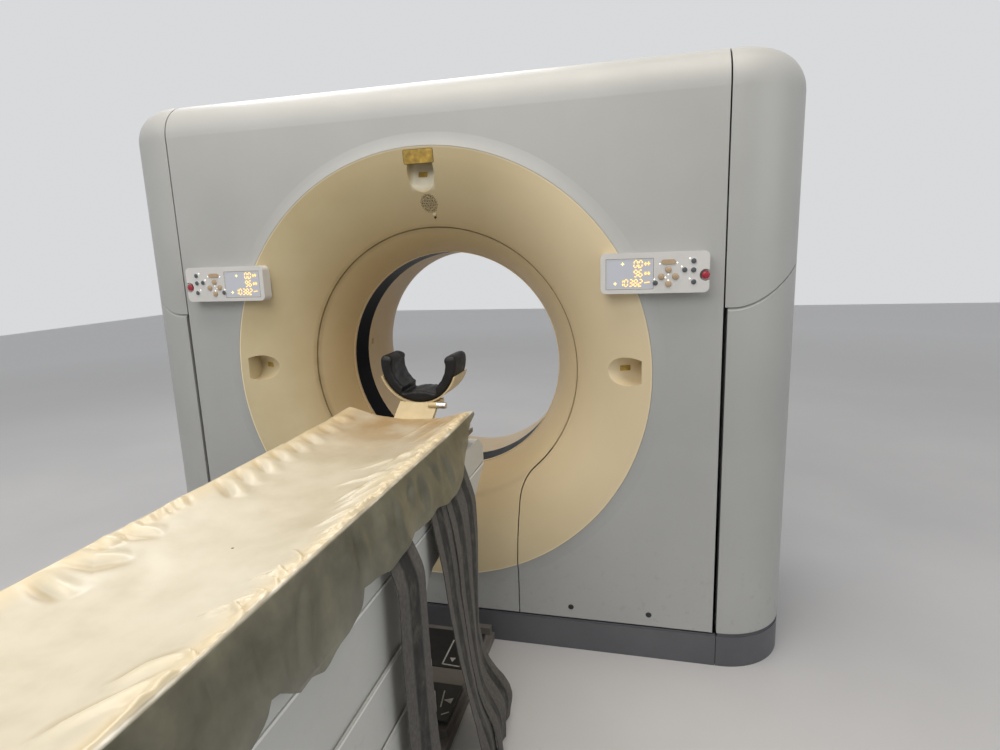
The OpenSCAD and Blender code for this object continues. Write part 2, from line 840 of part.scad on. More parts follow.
// Couch. Its side profiles are drawn as (Y, Z).
nose_y = -nose;
couch_end = nose_y - couch_l;
skirt_y = -skirt_front;
skirt_end = skirt_y - skirt_l;
seam_gap = 5;
couch_corner = 45;
table_deck_z = table_top_z - mattress_t;
couch_top_z = table_deck_z - table_dish - 26;
base_t = 30;
// How far the shell reaches down inside the middle skirt, at its ends and along its sides
shell_bottom = 390;
shell_side_z = lower_seam_z - 85;
low_wall_z = 215;
// Front and end of the shell's trunk, inside the middle skirt
trunk_y = skirt_y - 8;
trunk_end = skirt_end + 8;

module couch_plan(half, y0, y1, r) { round_rect([-half, y1], [half, y0], r); }

module top_profile(inset) {
    polygon([
        [nose_y - inset, seam_z + seam_gap / 2 - 2 * inset],
        [nose_y - inset, seam_z + 26 - inset / 2],
        [nose_y - 100 - inset / 2, couch_top_z - inset],
        [couch_end + 60, couch_top_z - inset],
        [couch_end + inset, couch_top_z - 30],
        [couch_end + inset, seam_z + seam_gap / 2 - 2 * inset],
    ]);
}

module couch_top() color(white_paint) difference() {
    intersection() {
        along_x(-couch_half, couch_half) top_profile(0);
        linear_extrude(far) couch_plan(couch_half, nose_y, couch_end, couch_corner);
    }
    intersection() {
        along_x(-couch_half + couch_t, couch_half - couch_t) top_profile(couch_t);
        linear_extrude(far)
            couch_plan(couch_half - couch_t, nose_y - couch_t, couch_end + couch_t, couch_corner - couch_t);
    }
}

// The lower shell hangs from the top one: a boat-shaped underside at both ends, and a trunk that telescopes
module shell_profile() {
    top = seam_z - seam_gap / 2;
    polygon([
        [nose_y, top], [nose_y - 50, top - 14], [nose_y - 90, top - 37], [nose_y - 138, top - 70],
        [nose_y - 185, top - 82], [nose_y - 367, top - 94],
        [nose_y - 560, top - 114], [nose_y - 602, top - 135],
        [trunk_y, lower_seam_z + 12], [trunk_y, shell_bottom],
        [trunk_end, shell_bottom], [trunk_end, lower_seam_z + 12],
        [skirt_end - 60, top - 114], [couch_end + 112, top - 61],
        [couch_end + 20, top - 14], [couch_end, top],
    ]);
}

module shell_solid(inset) {
    intersection() {
        along_x(-couch_half + inset, couch_half - inset) offset(delta = -inset) shell_profile();
        union() {
            translate([0, 0, lower_seam_z + 10]) linear_extrude(far)
                couch_plan(couch_half - inset, nose_y - inset, couch_end + inset, couch_corner - inset);
            linear_extrude(lower_seam_z + 10)
                couch_plan(couch_half - inset, trunk_y - inset, trunk_end + inset, couch_corner - inset);
        }
    }
}

module couch_shell() color(white_paint) {
    difference() {
        shell_solid(0);
        shell_solid(couch_t);
        // open top and bottom
        translate([0, 0, seam_z - 36]) linear_extrude(100)
            couch_plan(couch_half - couch_t, nose_y - 100, couch_end + 75, couch_corner - couch_t);
        translate([0, 0, shell_bottom - 1]) linear_extrude(20)
            couch_plan(couch_half - couch_t, trunk_y - couch_t, trunk_end + couch_t, couch_corner - couch_t);
        translate([-far, skirt_end + 80, 0]) cube([2 * far, skirt_l - 160, shell_side_z]);
    }
    // ledge behind the seam, which carries the shell on the top one
    translate([0, 0, seam_z - 40]) linear_extrude(40 + seam_gap / 2) difference() {
        couch_plan(couch_half - couch_t + 1, nose_y - 107, couch_end + 81, couch_corner - couch_t + 1);
        couch_plan(couch_half - couch_t - 3, nose_y - 111, couch_end + 85, couch_corner - couch_t - 3);
    }
}

middle_half = couch_half + skirt_gap + couch_t;
lower_half = middle_half + skirt_gap + couch_t;

// A nested skirt: two side walls, and low end walls that the cantilevered shell passes over
module skirt(half, out, z0, z1, end_z) {
    y0 = skirt_y + out;
    y1 = skirt_end - out;
    difference() {
        translate([0, 0, z0]) linear_extrude(z1 - z0) difference() {
            couch_plan(half, y0, y1, couch_corner);
            couch_plan(half - couch_t, y0 - couch_t, y1 + couch_t, couch_corner - couch_t);
        }
        for (y = [y0 - 60, y1 - 40]) translate([-half + couch_t + 2, y, end_z])
            cube([2 * (half - couch_t - 2), 100, far]);
    }
    // glide pads that guide the part inside
    for (s = [0, 1], y = [y0 - 250, y1 + 250]) mirror_x(s == 1)
        translate([half - couch_t - skirt_gap + seat, y - 40, z1 - 60]) cube([skirt_gap - seat + 1, 80, 40]);
}

column_half = 150;
column_y = -1450;
column_l = 600;

module column_box(half, wall, z0, z1) {
    grow = half - column_half;
    translate([0, 0, z0]) linear_extrude(z1 - z0) difference() {
        translate([-half, column_y - column_l - grow]) square([2 * half, column_l + 2 * grow]);
        translate([-half + wall, column_y - column_l - grow + wall])
            square([2 * (half - wall), column_l + 2 * (grow - wall)]);
    }
}

// Three square tubes, each inside the one above it
module lift_column() color(dark) column_box(column_half, 6, 400, couch_top_z - couch_t);

// The middle skirt and the middle stage of the lift, which move together at half the couch's travel
module middle_skirt() color(white_paint) {
    skirt(middle_half, 0, 217, lower_seam_z, 396);
    column_box(column_half - 6.5, 6, 207, 500);
    for (y = [column_y - 60, column_y - column_l + 20]) for (s = [0, 1]) mirror_x(s == 1)
        translate([column_half - 7, y, 208]) cube([middle_half - 2 - column_half + 7, 40, 12]);
}

module lower_skirt() color(white_paint) skirt(lower_half, 8, base_t, skirt_z, low_wall_z);

pedal_y = [-413, -695];
pedal_l = [207, 160];
pedal_w = 376;
pedal_t = 8;
pedal_axis_z = 66;
pedal_axle_r = 6;
pedal_block_z = 58;
pedal_pitch_rise = 1;

module couch_base() color("#6f7478") difference() {
    union() {
        linear_extrude(base_t) {
            translate([-lower_half, skirt_end - 8]) square([2 * lower_half, skirt_l + 16]);
            translate([-200, skirt_y]) square([400, skirt_front - front_depth - seat]);
        }
        translate([-190, -870, base_t - 1]) cube([380, 470, pedal_block_z - base_t + 1]);
        translate([-188, pedal_y[1] + 1, base_t]) cube([376, pedal_y[0] - pedal_l[0] - pedal_y[1] - 2, 44]);
        for (i = [0, 1]) translate([-14, pedal_y[i] - pedal_l[i], pedal_block_z - 1])
            cube([28, pedal_l[i], pedal_axis_z - pedal_block_z + 1]);
        for (s = [0, 1]) mirror_x(s == 1) translate([122, front_y - 25 - seat, base_t - 1])
            cube([68, 25, 30]);
        column_box(column_half - 13, 6, base_t - 1, 430);
    }
    for (i = [0, 1]) translate([0, pedal_y[i] + 1, pedal_axis_z]) rotate([90, 0, 0])
        cylinder(r = pedal_axle_r + running, h = pedal_l[i] + 2);
}

// Rocker pedal: a wide plate on an axle along its middle
module pedal(i) color("#17181a") {
    translate([-pedal_w / 2, pedal_y[i] - pedal_l[i] + 2, pedal_axis_z + pedal_pitch_rise])
        cube([pedal_w, pedal_l[i] - 4, pedal_t]);
    translate([0, pedal_y[i] - 2, pedal_axis_z]) rotate([90, 0, 0])
        cylinder(r = pedal_axle_r, h = pedal_l[i] - 4);
}

module pedal_lift() pedal(0);
module pedal_slide() pedal(1);

// Sections across the couch are drawn as (X, Z)
module along_table(y0, y1) { translate([0, y1, 0]) rotate([90, 0, 0]) linear_extrude(y1 - y0) children(); }

// Radius of an arc with this half chord and rise
function arc_radius(half, rise) = (half * half + rise * rise) / (2 * rise);

head_y = -head_end;
table_half = table_w / 2;
table_end = head_y - table_l;
deck_mid_z = table_deck_z - table_dish;
deck_arc = arc_radius(table_half, table_dish);
pallet_mid_t = 22;
under_rise = table_dish + 8;
under_arc = arc_radius(table_half, under_rise);
mattress_dish = table_dish + 2;
mattress_arc = arc_radius(table_half, mattress_dish);
mattress_mid_z = table_top_z - mattress_dish;

module tabletop() color("#34373b") {
    along_table(table_end, head_y) intersection() {
        translate([0, deck_mid_z - pallet_mid_t + under_arc]) circle(under_arc, $fn = 180);
        difference() {
            translate([-table_half, 0]) square([table_w, table_deck_z]);
            translate([0, deck_mid_z + deck_arc]) circle(deck_arc, $fn = 180);
        }
    }
    for (s = [-1, 1]) translate([s * 70 - 12, table_end + 40, couch_top_z + seat])
        cube([24, table_l - 80, deck_mid_z - pallet_mid_t + 6 - couch_top_z]);
}

module mattress() color(cream) along_table(table_end + 5, head_y - 2) difference() {
    intersection() {
        translate([0, deck_mid_z + deck_arc]) circle(deck_arc - seat, $fn = 180);
        translate([-table_half + 2, 0]) square([table_w - 4, table_top_z]);
    }
    translate([0, mattress_mid_z + mattress_arc]) circle(mattress_arc, $fn = 180);
}

sheet_t = 2;
sheet_flare = 33;

// The plastic sheet: over the mattress, and down both sides with a slanted front edge
module cover_sheet() color("#efe9cf") intersection() {
    along_table(table_end, head_y + 4) {
        intersection() {
            difference() {
                translate([0, mattress_mid_z + mattress_arc]) circle(mattress_arc - seat, $fn = 180);
                translate([0, mattress_mid_z + mattress_arc])
                    circle(mattress_arc - seat - sheet_t, $fn = 180);
            }
            translate([-table_half - 2, 0]) square([table_w + 4, table_top_z + 6]);
        }
        for (s = [-1, 1]) scale_x(s) polygon([
            [table_half - 4, table_top_z + 0.6], [table_half, table_top_z],
            [table_half + 1, table_top_z - 1], [table_half + sheet_flare - sheet_t, table_top_z - drape],
            [table_half + sheet_flare, table_top_z - drape], [table_half + 3, table_top_z],
            [table_half, table_top_z + 3.4], [table_half - 4, table_top_z + 2.2],
        ]);
    }
    along_x(-far, far) polygon([
        [table_end - 1, 0], [head_y - 330, 0],
        [head_y - 235, table_top_z - drape], [head_y - 100, table_top_z - 117],
        [head_y + 5, table_top_z - 20], [head_y + 5, far], [table_end - 1, far],
    ]);
}

cushion_z = table_top_z + 143;
cushion_y = head_y + 95;
cradle_t = 5;
arm_rise = 13;
cradle_drop = 45;
neck_half = 68;
neck_t = 10;
knob_y = cushion_y - 20;
knob_r = 11;

module head_cushion() color("#18191b") along_table(cushion_y, cushion_y + cushion_l)
    translate([0, cushion_z]) {
        difference() {
            circle(cushion_r);
            circle(cushion_r - cushion_t);
            translate([-cushion_r, 0]) square([2 * cushion_r, cushion_r]);
        }
        for (s = [-1, 1]) scale_x(s) {
            translate([cushion_r - cushion_t, 0]) square([cushion_t, arm_rise]);
            translate([cushion_r - cushion_t / 2, arm_rise]) circle(cushion_t / 2);
        }
    }

neck_top = cushion_z - cushion_r - seat;
neck_drop = 58;
knob_rise = 14;
knob_z = neck_top - neck_t / 2 + knob_rise - neck_drop * (cushion_y - knob_y) / (cushion_y - head_y);

module head_holder() color(cream) {
    along_table(cushion_y - 5, cushion_y + cushion_l + 5) translate([0, cushion_z]) difference() {
        circle(cushion_r + seat + cradle_t);
        circle(cushion_r + seat);
        translate([-2 * cushion_r, -cradle_drop]) square([4 * cushion_r, 2 * cushion_r]);
    }
    difference() {
        union() {
            along_x(-neck_half, neck_half) polygon([
                [cushion_y + 60, neck_top - cradle_t - neck_t], [cushion_y - 3, neck_top - neck_t - 1],
                [head_y + 18, neck_top - neck_t - neck_drop], [head_y + 18, deck_mid_z - pallet_mid_t],
                [head_y + seat, deck_mid_z - pallet_mid_t], [head_y + seat, neck_top - neck_drop],
                [cushion_y - 3, neck_top + 4], [cushion_y + 60, neck_top + 4],
            ]);
            // boss that the knob turns in
            translate([neck_half - 26, knob_y, knob_z]) rotate([0, 90, 0]) cylinder(r = 10, h = 30);
        }
        along_table(cushion_y - 6, cushion_y + 61) translate([0, cushion_z]) circle(cushion_r + seat);
        translate([neck_half - 16, knob_y, knob_z]) rotate([0, 90, 0]) cylinder(r = 4 + running, h = 21);
    }
}

module holder_knob() color("#d0d2d3") translate([neck_half + 4 + seat, knob_y, knob_z]) rotate([0, 90, 0]) {
    cylinder(r = knob_r, h = 30);
    translate([0, 0, -14]) cylinder(r = 4, h = 15);
}

strap_t = 3;
strap_top = table_top_z - drape - 6;

// Outer line of a strap below the sheet's hem as (X, Z), which runs out by flare at its foot
function strap_line(flare) = [
    for (step = [[0, 1], [0.16, 0.75], [0.33, 0.5], [0.6, 0.22], [1, 0]])
        [table_half + 31 + flare * step[0], strap_end_z + (strap_top - strap_end_z) * step[1]]
];

// One strap: from the tabletop's edge, out past the hem and down. y is its rear edge.
module strap(y, width, flare) {
    line = strap_line(flare);
    back = [for (i = [len(line) - 1 : -1 : 0]) line[i] - [strap_t, 0]];
    along_table(y, y + width) polygon(concat(
        [[table_half + seat, table_deck_z - 13], [table_half + seat, table_deck_z - 1]],
        [[table_half + seat + strap_t, table_deck_z - 1], [table_half + 8 + strap_t, table_top_z - 90]],
        line, back, [[table_half + 8, table_top_z - 90]]
    ));
}

bundle_y = head_y - 0.195 * table_l;
single_y = head_y - 0.312 * table_l;
bundle_w = 0.8 * strap_w;

// A bundle of three side by side, and one by itself
module straps() color("#4b4b4d") {
    for (i = [0 : 2]) strap(bundle_y + i * (bundle_w + 0.8), bundle_w, 94);
    strap(single_y, strap_w, 30);
}

base_frame();
stand_left();
stand_right();
side_cover_left();
side_cover_right();
plinth_front();
plinth_left();
plinth_right();
rear_base_cover();
tilt_frame();
bearing_outer();
front_cover();
front_dish();
bore_cone();
center_panel();
scan_window();
rear_cone();
rear_cover();
upper_cover_left();
upper_cover_right();
cover_screws();
drive_motor();
drive_belt();
panel_housing_left();
panel_housing_right();
display_left();
display_right();
rocker_left();
rocker_right();
key_up_left();
key_up_right();
key_down_left();
key_down_right();
key_out_left();
key_out_right();
key_in_left();
key_in_right();
stop_left();
stop_right();
rotor_drum();
xray_tube();
hv_tank();
detector();
slip_ring();
drive_pulley();
couch_base();
lower_skirt();
pedal_lift();
pedal_slide();
middle_skirt();
lift_column();
couch_shell();
couch_top();
tabletop();
mattress();
cover_sheet();
head_holder();
head_cushion();
holder_knob();
straps();
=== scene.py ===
# %% [markdown]
# # A whole-body scanner, dressed on its imported CAD model
# The CAD model already holds every rigid piece at its true size: the tilting gantry with its dish and
# bore, the fixed columns, the couch and its supports. This script gives those pieces their finishes,
# and makes what CAD leaves plain: the plastic sheet, the mattress, the straps, the head cushion, the
# lit displays, the crowned keys and the small plates.
#
# ## The frame
# The CAD model is imported, and each node's points are moved into the frame's metres.

# %% Load the frame
import math

import bmesh
import bpy
import numpy as np
from mathutils import Matrix, Vector
from mathutils.bvhtree import BVHTree


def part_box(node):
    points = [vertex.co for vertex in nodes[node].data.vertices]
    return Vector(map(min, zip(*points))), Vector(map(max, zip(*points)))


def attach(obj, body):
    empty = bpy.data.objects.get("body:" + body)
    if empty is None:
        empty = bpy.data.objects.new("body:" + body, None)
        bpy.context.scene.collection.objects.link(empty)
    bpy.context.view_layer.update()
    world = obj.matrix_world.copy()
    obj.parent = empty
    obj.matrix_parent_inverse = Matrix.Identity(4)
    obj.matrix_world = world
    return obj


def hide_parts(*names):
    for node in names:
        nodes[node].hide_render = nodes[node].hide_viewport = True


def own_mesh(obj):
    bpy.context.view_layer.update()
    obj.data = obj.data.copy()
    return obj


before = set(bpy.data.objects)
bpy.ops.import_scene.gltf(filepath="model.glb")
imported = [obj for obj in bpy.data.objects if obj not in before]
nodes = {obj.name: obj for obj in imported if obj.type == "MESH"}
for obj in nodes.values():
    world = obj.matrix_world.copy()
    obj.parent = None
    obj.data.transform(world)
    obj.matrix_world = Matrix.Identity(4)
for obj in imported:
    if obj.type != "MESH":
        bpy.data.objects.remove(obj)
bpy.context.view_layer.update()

# %% [markdown]
# ## Measures that several pieces share
# They repeat the CAD model's own sizes, in metres. `box` reads the rest from the frame, so that a
# piece is placed by what carries it and not by a number typed twice. Tables of points that were read
# from the photograph are written as text in millimetres, which `in_mm` turns into metres.

# %% Shared measures
AXIS_Z = 1.030          # height of the bore's axis
FRONT_Y = -0.330        # flat front face of the gantry
RING_R = 0.512          # ring seam between dish and cone
PANEL_X, PANEL_Z, PANEL_OUT = 0.771, AXIS_Z + 0.335, 0.045
PANEL_FACE = FRONT_Y - PANEL_OUT
MATTRESS_TOP = 0.944
TABLE_HALF = 0.215
TABLE_DISH = 0.028      # how deep the tabletop, and what lies on it, is hollowed along its middle
HEAD_Y = -0.545
TAIL_Y = HEAD_Y - 2.330
SIDES = ("left", "right")


def box(name):
    """Low and high corner of a CAD node."""
    return [Vector(corner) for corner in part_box(name)]


def in_mm(text):
    """Rows of points in metres from text in millimetres: semicolons end rows, commas end points."""
    return [[tuple(float(number) / 1000 for number in point.split()) for point in row.split(",")]
            for row in text.split(";")]


def add_object(name, data):
    made = bpy.data.objects.new(name, data)
    bpy.context.scene.collection.objects.link(made)
    return made


print("mattress from", HEAD_Y, "to", TAIL_Y, "m")

# %% [markdown]
# ## The camera
# The photograph was taken standing beside the couch's tail, at about eye height, with a short wide
# lens. Its place and angles were found by fitting a pinhole camera to the rim, the seams and the
# gantry's edges, so the same numbers are used here. The three turns are written out as the camera's
# own axes, because that is the surest way to keep a roll from creeping in.

# %% Camera
CAMERA_AT = Vector((0.770, -2.3577, 1.4328))
YAW, PITCH, ROLL = (math.radians(a) for a in (14.207, 10.985, 1.998))
PHOTO_WIDTH, FOCAL_PX, SENSOR = 1000, 613.5, 36.0

forward = Vector((-math.sin(YAW) * math.cos(PITCH), math.cos(YAW) * math.cos(PITCH), -math.sin(PITCH)))
level = Vector((math.cos(YAW), math.sin(YAW), 0))
down = forward.cross(level)
right = level * math.cos(ROLL) + down * math.sin(ROLL)
under = down * math.cos(ROLL) - level * math.sin(ROLL)

camera = add_object("camera", bpy.data.cameras.new("camera"))
camera.data.sensor_width = SENSOR
camera.data.lens = FOCAL_PX * SENSOR / PHOTO_WIDTH
camera.data.clip_end = 100
turn = Matrix((right, -under, -forward)).transposed().to_4x4()
camera.matrix_world = Matrix.Translation(CAMERA_AT) @ turn
bpy.context.scene.camera = camera
bpy.context.scene.view_settings.view_transform = "Standard"
print("lens:", round(camera.data.lens, 2), "mm")

# %% [markdown]
# ## Helpers for materials
# Colours are written as the sRGB hex values a paint chart or a photo editor would show, and Blender
# wants them linear, so one function converts them. The second adds a node with its settings and its
# links in one line, and gives back the node or the one output that is wanted, so that a material
# reads as a list of what it is made of. The long type names get short ones first.

# %% Colour and node helpers
NOISE, RAMP, RANGE = "ShaderNodeTexNoise", "ShaderNodeValToRGB", "ShaderNodeMapRange"
MATH, VECTOR, MIX = "ShaderNodeMath", "ShaderNodeVectorMath", "ShaderNodeMix"
BUMP, SPLIT, MAPPING = "ShaderNodeBump", "ShaderNodeSeparateXYZ", "ShaderNodeMapping"
FADE = ("Value", "From Min", "From Max", "To Min", "To Max")


def linear(code, alpha=1.0):
    shares = [int(code[i:i + 2], 16) / 255 for i in (1, 3, 5)]
    return [s / 12.92 if s <= 0.04045 else ((s + 0.055) / 1.055) ** 2.4 for s in shares] + [alpha]


def put(tree, kind, inputs=None, take=None, stops=(), **settings):
    node = tree.nodes.new(kind)
    for key, value in settings.items():
        setattr(node, key, value)
    for key, value in (inputs or {}).items():
        socket = node.inputs[key]
        if isinstance(value, bpy.types.NodeSocket):
            tree.links.new(value, socket)
        else:
            socket.default_value = value
    for i, (place, code) in enumerate(stops):
        mark = node.color_ramp.elements[i] if i < 2 else node.color_ramp.elements.new(place)
        mark.position, mark.color = place, linear(code)
    return node if take is None else node.outputs[take]


def start(name, colour, roughness, **sockets):
    """A material with its plain values on the shader, and Object coordinates to hang patterns on."""
    material = bpy.data.materials.new(name)
    material.use_nodes = True
    tree = material.node_tree
    shader = tree.nodes["Principled BSDF"]
    shader.inputs["Base Color"].default_value = linear(colour)
    shader.inputs["Roughness"].default_value = roughness
    for key, value in sockets.items():
        shader.inputs[key.replace("_", " ")].default_value = value
    return material, tree, shader, put(tree, "ShaderNodeTexCoord", {}, "Object")


# %% [markdown]
# ## Layers that most finishes share
# Almost every surface here is a plain colour that has drifted a little with age, under a fine texture
# left by its mould or its paint. `clouds` mixes a few shades by a soft noise, and `drift` makes them
# the base colour. `tint` lays one more colour over a base, and its share is the product of fades: a
# fade runs from one share to another over a span of some value, such as a height or a distance.
# `grain` turns a fine noise into relief, and `handled` varies the roughness, so that reflections
# break up as they do on a surface that hands have wiped. Sizes are in metres, so each pattern keeps
# its real scale.

# %% Shared layers
def clouds(tree, where, scale, stops, detail=4.0, roughness=0.6, distortion=0.0):
    noise = put(tree, NOISE, {"Vector": where, "Scale": scale, "Detail": detail, "Roughness": roughness,
                              "Distortion": distortion}, "Fac")
    return put(tree, RAMP, {"Fac": noise}, "Color", stops)


def drift(tree, shader, where, size, stops):
    shades = clouds(tree, where, 1 / size, stops, roughness=0.55)
    tree.links.new(shades, shader.inputs["Base Color"])


def tint(tree, base, colour, *fades):
    """A fade is (value, from, to, share there, share there), or a socket that gives a share as it is."""
    share = None
    for fade in fades:
        if isinstance(fade, tuple):
            fade = put(tree, RANGE, dict(zip(FADE, fade)), "Result")
        share = fade if share is None else put(tree, MATH, {0: share, 1: fade}, "Value", operation="MULTIPLY")
    colour = linear(colour) if isinstance(colour, str) else colour
    return put(tree, MIX, {0: share, 6: base, 7: colour}, 2, data_type="RGBA")


def either_side(tree, value, centre):
    """How far a value is from centre."""
    off = put(tree, MATH, {0: value, 1: centre}, "Value", operation="SUBTRACT")
    return put(tree, MATH, {0: off}, "Value", operation="ABSOLUTE")


def grain(tree, shader, where, size, depth, strength=0.5, detail=2.0):
    height = put(tree, NOISE, {"Vector": where, "Scale": 1 / size, "Detail": detail}, "Fac")
    normal = put(tree, BUMP, {"Height": height, "Distance": depth, "Strength": strength}, "Normal")
    tree.links.new(normal, shader.inputs["Normal"])


def handled(tree, shader, where, size, low, high):
    cloud = put(tree, NOISE, {"Vector": where, "Scale": 1 / size, "Detail": 5.0, "Roughness": 0.6}, "Fac")
    spread = put(tree, RANGE, dict(zip(FADE, (cloud, 0.3, 0.7, low, high))), "Result")
    tree.links.new(spread, shader.inputs["Roughness"])


# %% [markdown]
# ## Painted covers
# The big covers are moulded in structural foam and sprayed with a satin two-part paint. It is a warm
# grey, almost even, with a very fine orange peel. Low down, shoes, mops and trolleys have left it a
# little greyer and duller, so some scuffs are mixed in there by height. The couch's paint is paler,
# and below each of its seams a narrow bright band is painted in as the highlight on the rolled lip.

# %% Satin cover paint
SCUFFED_FROM = 0.1      # scuffs are full up to this height
LIP_DROP = 0.003        # from a seam down to the middle of its lip
COUCH_SEAMS = (0.7475, 0.5625)


def satin_paint(name, light, mid, dark, scuff_top, scuff, seams=()):
    material, tree, shader, where = start(name, mid, 0.46, Coat_Weight=0.08, Coat_Roughness=0.35)
    height = put(tree, SPLIT, {"Vector": where}, "Z")
    colour = clouds(tree, where, 1 / 0.7, [(0.25, dark), (0.5, mid), (0.78, light)], roughness=0.55)
    specks = put(tree, NOISE, {"Vector": where, "Scale": 30.0, "Detail": 6.0, "Roughness": 0.7}, "Fac")
    colour = tint(tree, colour, "#77746e", (specks, 0.56, 0.72, 0, scuff),
                  (height, SCUFFED_FROM, scuff_top, 1, 0))
    for seam in seams:
        # A narrow pale band just below each seam is a painted highlight on the rolled lip.
        lip_highlight = either_side(tree, height, seam - LIP_DROP)
        colour = tint(tree, colour, "#f2f2ef", (lip_highlight, 0.0025, 0.0040, 0.75, 0))
    tree.links.new(colour, shader.inputs["Base Color"])
    handled(tree, shader, where, 0.12, 0.40, 0.52)
    grain(tree, shader, where, 0.0025, 0.0004, 0.3)
    return material


cover_paint = satin_paint("satin_cover_paint", "#b0b1af", "#aaaba8", "#a3a4a2", 0.55, 0.35)
couch_paint = satin_paint("satin_couch_paint", "#c6c7c3", "#bfc0bc", "#b6b7b3", 0.75, 0.5, COUCH_SEAMS)
print("made:", cover_paint.name, couch_paint.name)

# %% [markdown]
# ## Cream plastic that has yellowed
# The dish and the bore cone are formed in ABS that was cream when new. Light and cleaning have
# yellowed it unevenly, so tints are laid over it one by one. Some follow the distance from the bore's
# axis: the cone is browner, dirt has settled along the ring seam, and the last few millimetres,
# inside the rim's groove, are a pale painted highlight on the rim's edge. Others follow the place seen
# from the axis: paler towards the right as painted light, darker at the upper left as painted shade,
# and pale in the shallow pocket at 12 o'clock.

# %% Yellowed ABS
POCKET_X = 0.004        # middle of the pocket at 12 o'clock


def yellowed_abs(name):
    material, tree, shader, where = start(name, "#c4b58f", 0.42, Coat_Weight=0.06, Coat_Roughness=0.3)
    from_axis = put(tree, VECTOR, {0: where, 1: (0, 0, -AXIS_Z)}, "Vector", operation="ADD")
    flat = put(tree, VECTOR, {0: from_axis, 1: (1, 0, 1)}, "Vector", operation="MULTIPLY")
    radius = put(tree, VECTOR, {0: flat}, "Value", operation="LENGTH")
    x, y, z = put(tree, SPLIT, {"Vector": from_axis}).outputs
    seam, pocket = either_side(tree, radius, RING_R), either_side(tree, x, POCKET_X)
    smear = put(tree, NOISE, {"Vector": where, "Scale": 20.0, "Detail": 4.0}, "Fac")
    colour = clouds(tree, where, 2.6, [(0.25, "#bba982"), (0.52, "#c5b48d"), (0.78, "#cfc09c")])
    for shade, *fades in (
            ("#b99b6b", (radius, 0.44, 0.62, 0.75, 0)),                     # the cone
            ("#75633f", (seam, 0.002, 0.014, 0.7, 0), smear),               # the ring seam
            # A pale band inside the rim's groove: a painted highlight on the rim's edge.
            ("#efe4c6", (radius, 0.7645, 0.7665, 0, 0.8)),                  # the rim's groove
            # Paler towards the right: painted light.
            ("#e0cfac", (x, -0.35, 0.60, 0, 0.75)),                         # the right
            # Darker at the upper left: painted shade.
            ("#93845e", (z, 0.10, 0.62, 0, 0.50), (x, 0.20, 0.50, 1, 0)),   # the upper left
            ("#e4e0ce", (pocket, 0.046, 0.036, 0, 0.65), (z, 0.628, 0.646, 0, 1),
             (z, 0.725, 0.735, 1, 0), (y, -0.10, 0, 1, 0))):                # the pocket
        colour = tint(tree, colour, shade, *fades)
    tree.links.new(colour, shader.inputs["Base Color"])
    handled(tree, shader, where, 0.09, 0.36, 0.52)
    grain(tree, shader, where, 0.003, 0.0004, 0.3)
    return material


cream_abs = yellowed_abs("yellowed_abs")
print("made:", cream_abs.name)

# %% [markdown]
# ## The other rigid finishes
# Each is named for the stuff and how its surface was made: the plinth's sprayed metallic paint, the
# window's black acrylic film, the panels' fine-textured ABS, soft-touch keys, machined and cast
# metal, powder coat, rubber. A metal keeps the default IOR, and its colour is the metal itself.

# %% Plain finishes
def plain(name, colour, roughness, size=0.12, spread=0.05, depth=0.0003, grit=0.002, **sockets):
    """One colour, drifting by a few percent, with a fine relief."""
    material, tree, shader, where = start(name, colour, roughness, **sockets)
    value = [int(colour[i:i + 2], 16) for i in (1, 3, 5)]
    shades = ["#" + "".join(f"{max(0, min(255, round(v * k))):02x}" for v in value)
              for k in (1 - spread, 1, 1 + spread)]
    drift(tree, shader, where, size, list(zip((0.3, 0.5, 0.7), shades)))
    handled(tree, shader, where, size / 3, max(0.03, roughness - 0.06), roughness + 0.06)
    grain(tree, shader, where, grit, depth, 0.4)
    return material


plinth_metallic = plain("metallic_plinth_paint", "#606165", 0.45, 0.3, 0.06, 0.0002, Metallic=0.2)
black_acrylic = plain("black_acrylic_window", "#040404", 0.30, 0.3, 0.10, 0.00003, 0.02,
                      Specular_IOR_Level=0.015)
panel_abs = plain("fine_textured_abs", "#cfcecb", 0.48, 0.1, 0.02, 0.0002, 0.0012)
soft_key = plain("soft_touch_key", "#b29b7e", 0.50, 0.02, 0.04)
grey_key = plain("grey_rubber_key", "#50555a", 0.30, 0.02, 0.05)
stop_plastic = plain("red_stop_plastic", "#9c1f31", 0.30, 0.02, 0.05, Coat_Weight=0.2)
holder_plastic = plain("pale_cast_polyamide", "#c3b088", 0.42, 0.08, 0.05, 0.0003, 0.003)
machined = plain("machined_steel", "#9fa1a3", 0.34, 0.2, 0.05, 0.0001, 0.004, Metallic=1.0)
cast_alloy = plain("cast_aluminium", "#b4b6b8", 0.45, 0.2, 0.05, 0.0004, 0.004, Metallic=1.0)
powder_coat = plain("black_powder_coat", "#242527", 0.55, 0.2, 0.08, 0.0004, 0.0016)
base_coat = plain("grey_powder_coat", "#716c66", 0.52, 0.2, 0.06, 0.0004, 0.0016)
belt_rubber = plain("belt_rubber", "#1d1e20", 0.65, 0.1, 0.10)
ring_brass = plain("slip_ring_brass", "#c2a25c", 0.30, 0.2, 0.05, 0.0001, Metallic=1.0)
carbon_skin = plain("carbon_laminate", "#2b2d30", 0.32, 0.2, 0.08, 0.0002, 0.004, Coat_Weight=0.4)
chrome = plain("polished_chrome", "#dcdddd", 0.12, 0.05, 0.02, 0.00002, Metallic=1.0)
dark_abs = plain("dark_abs", "#1f2022", 0.45, 0.05, 0.08)
pedal_rubber = plain("ribbed_pedal_rubber", "#161617", 0.60, 0.08, 0.12, 0.0004, 0.002)
yellow_plate = plain("amber_anodised_plate", "#a5873a", 0.42, 0.022, 0.20, 0.0003, 0.004)
print("plain finishes made")

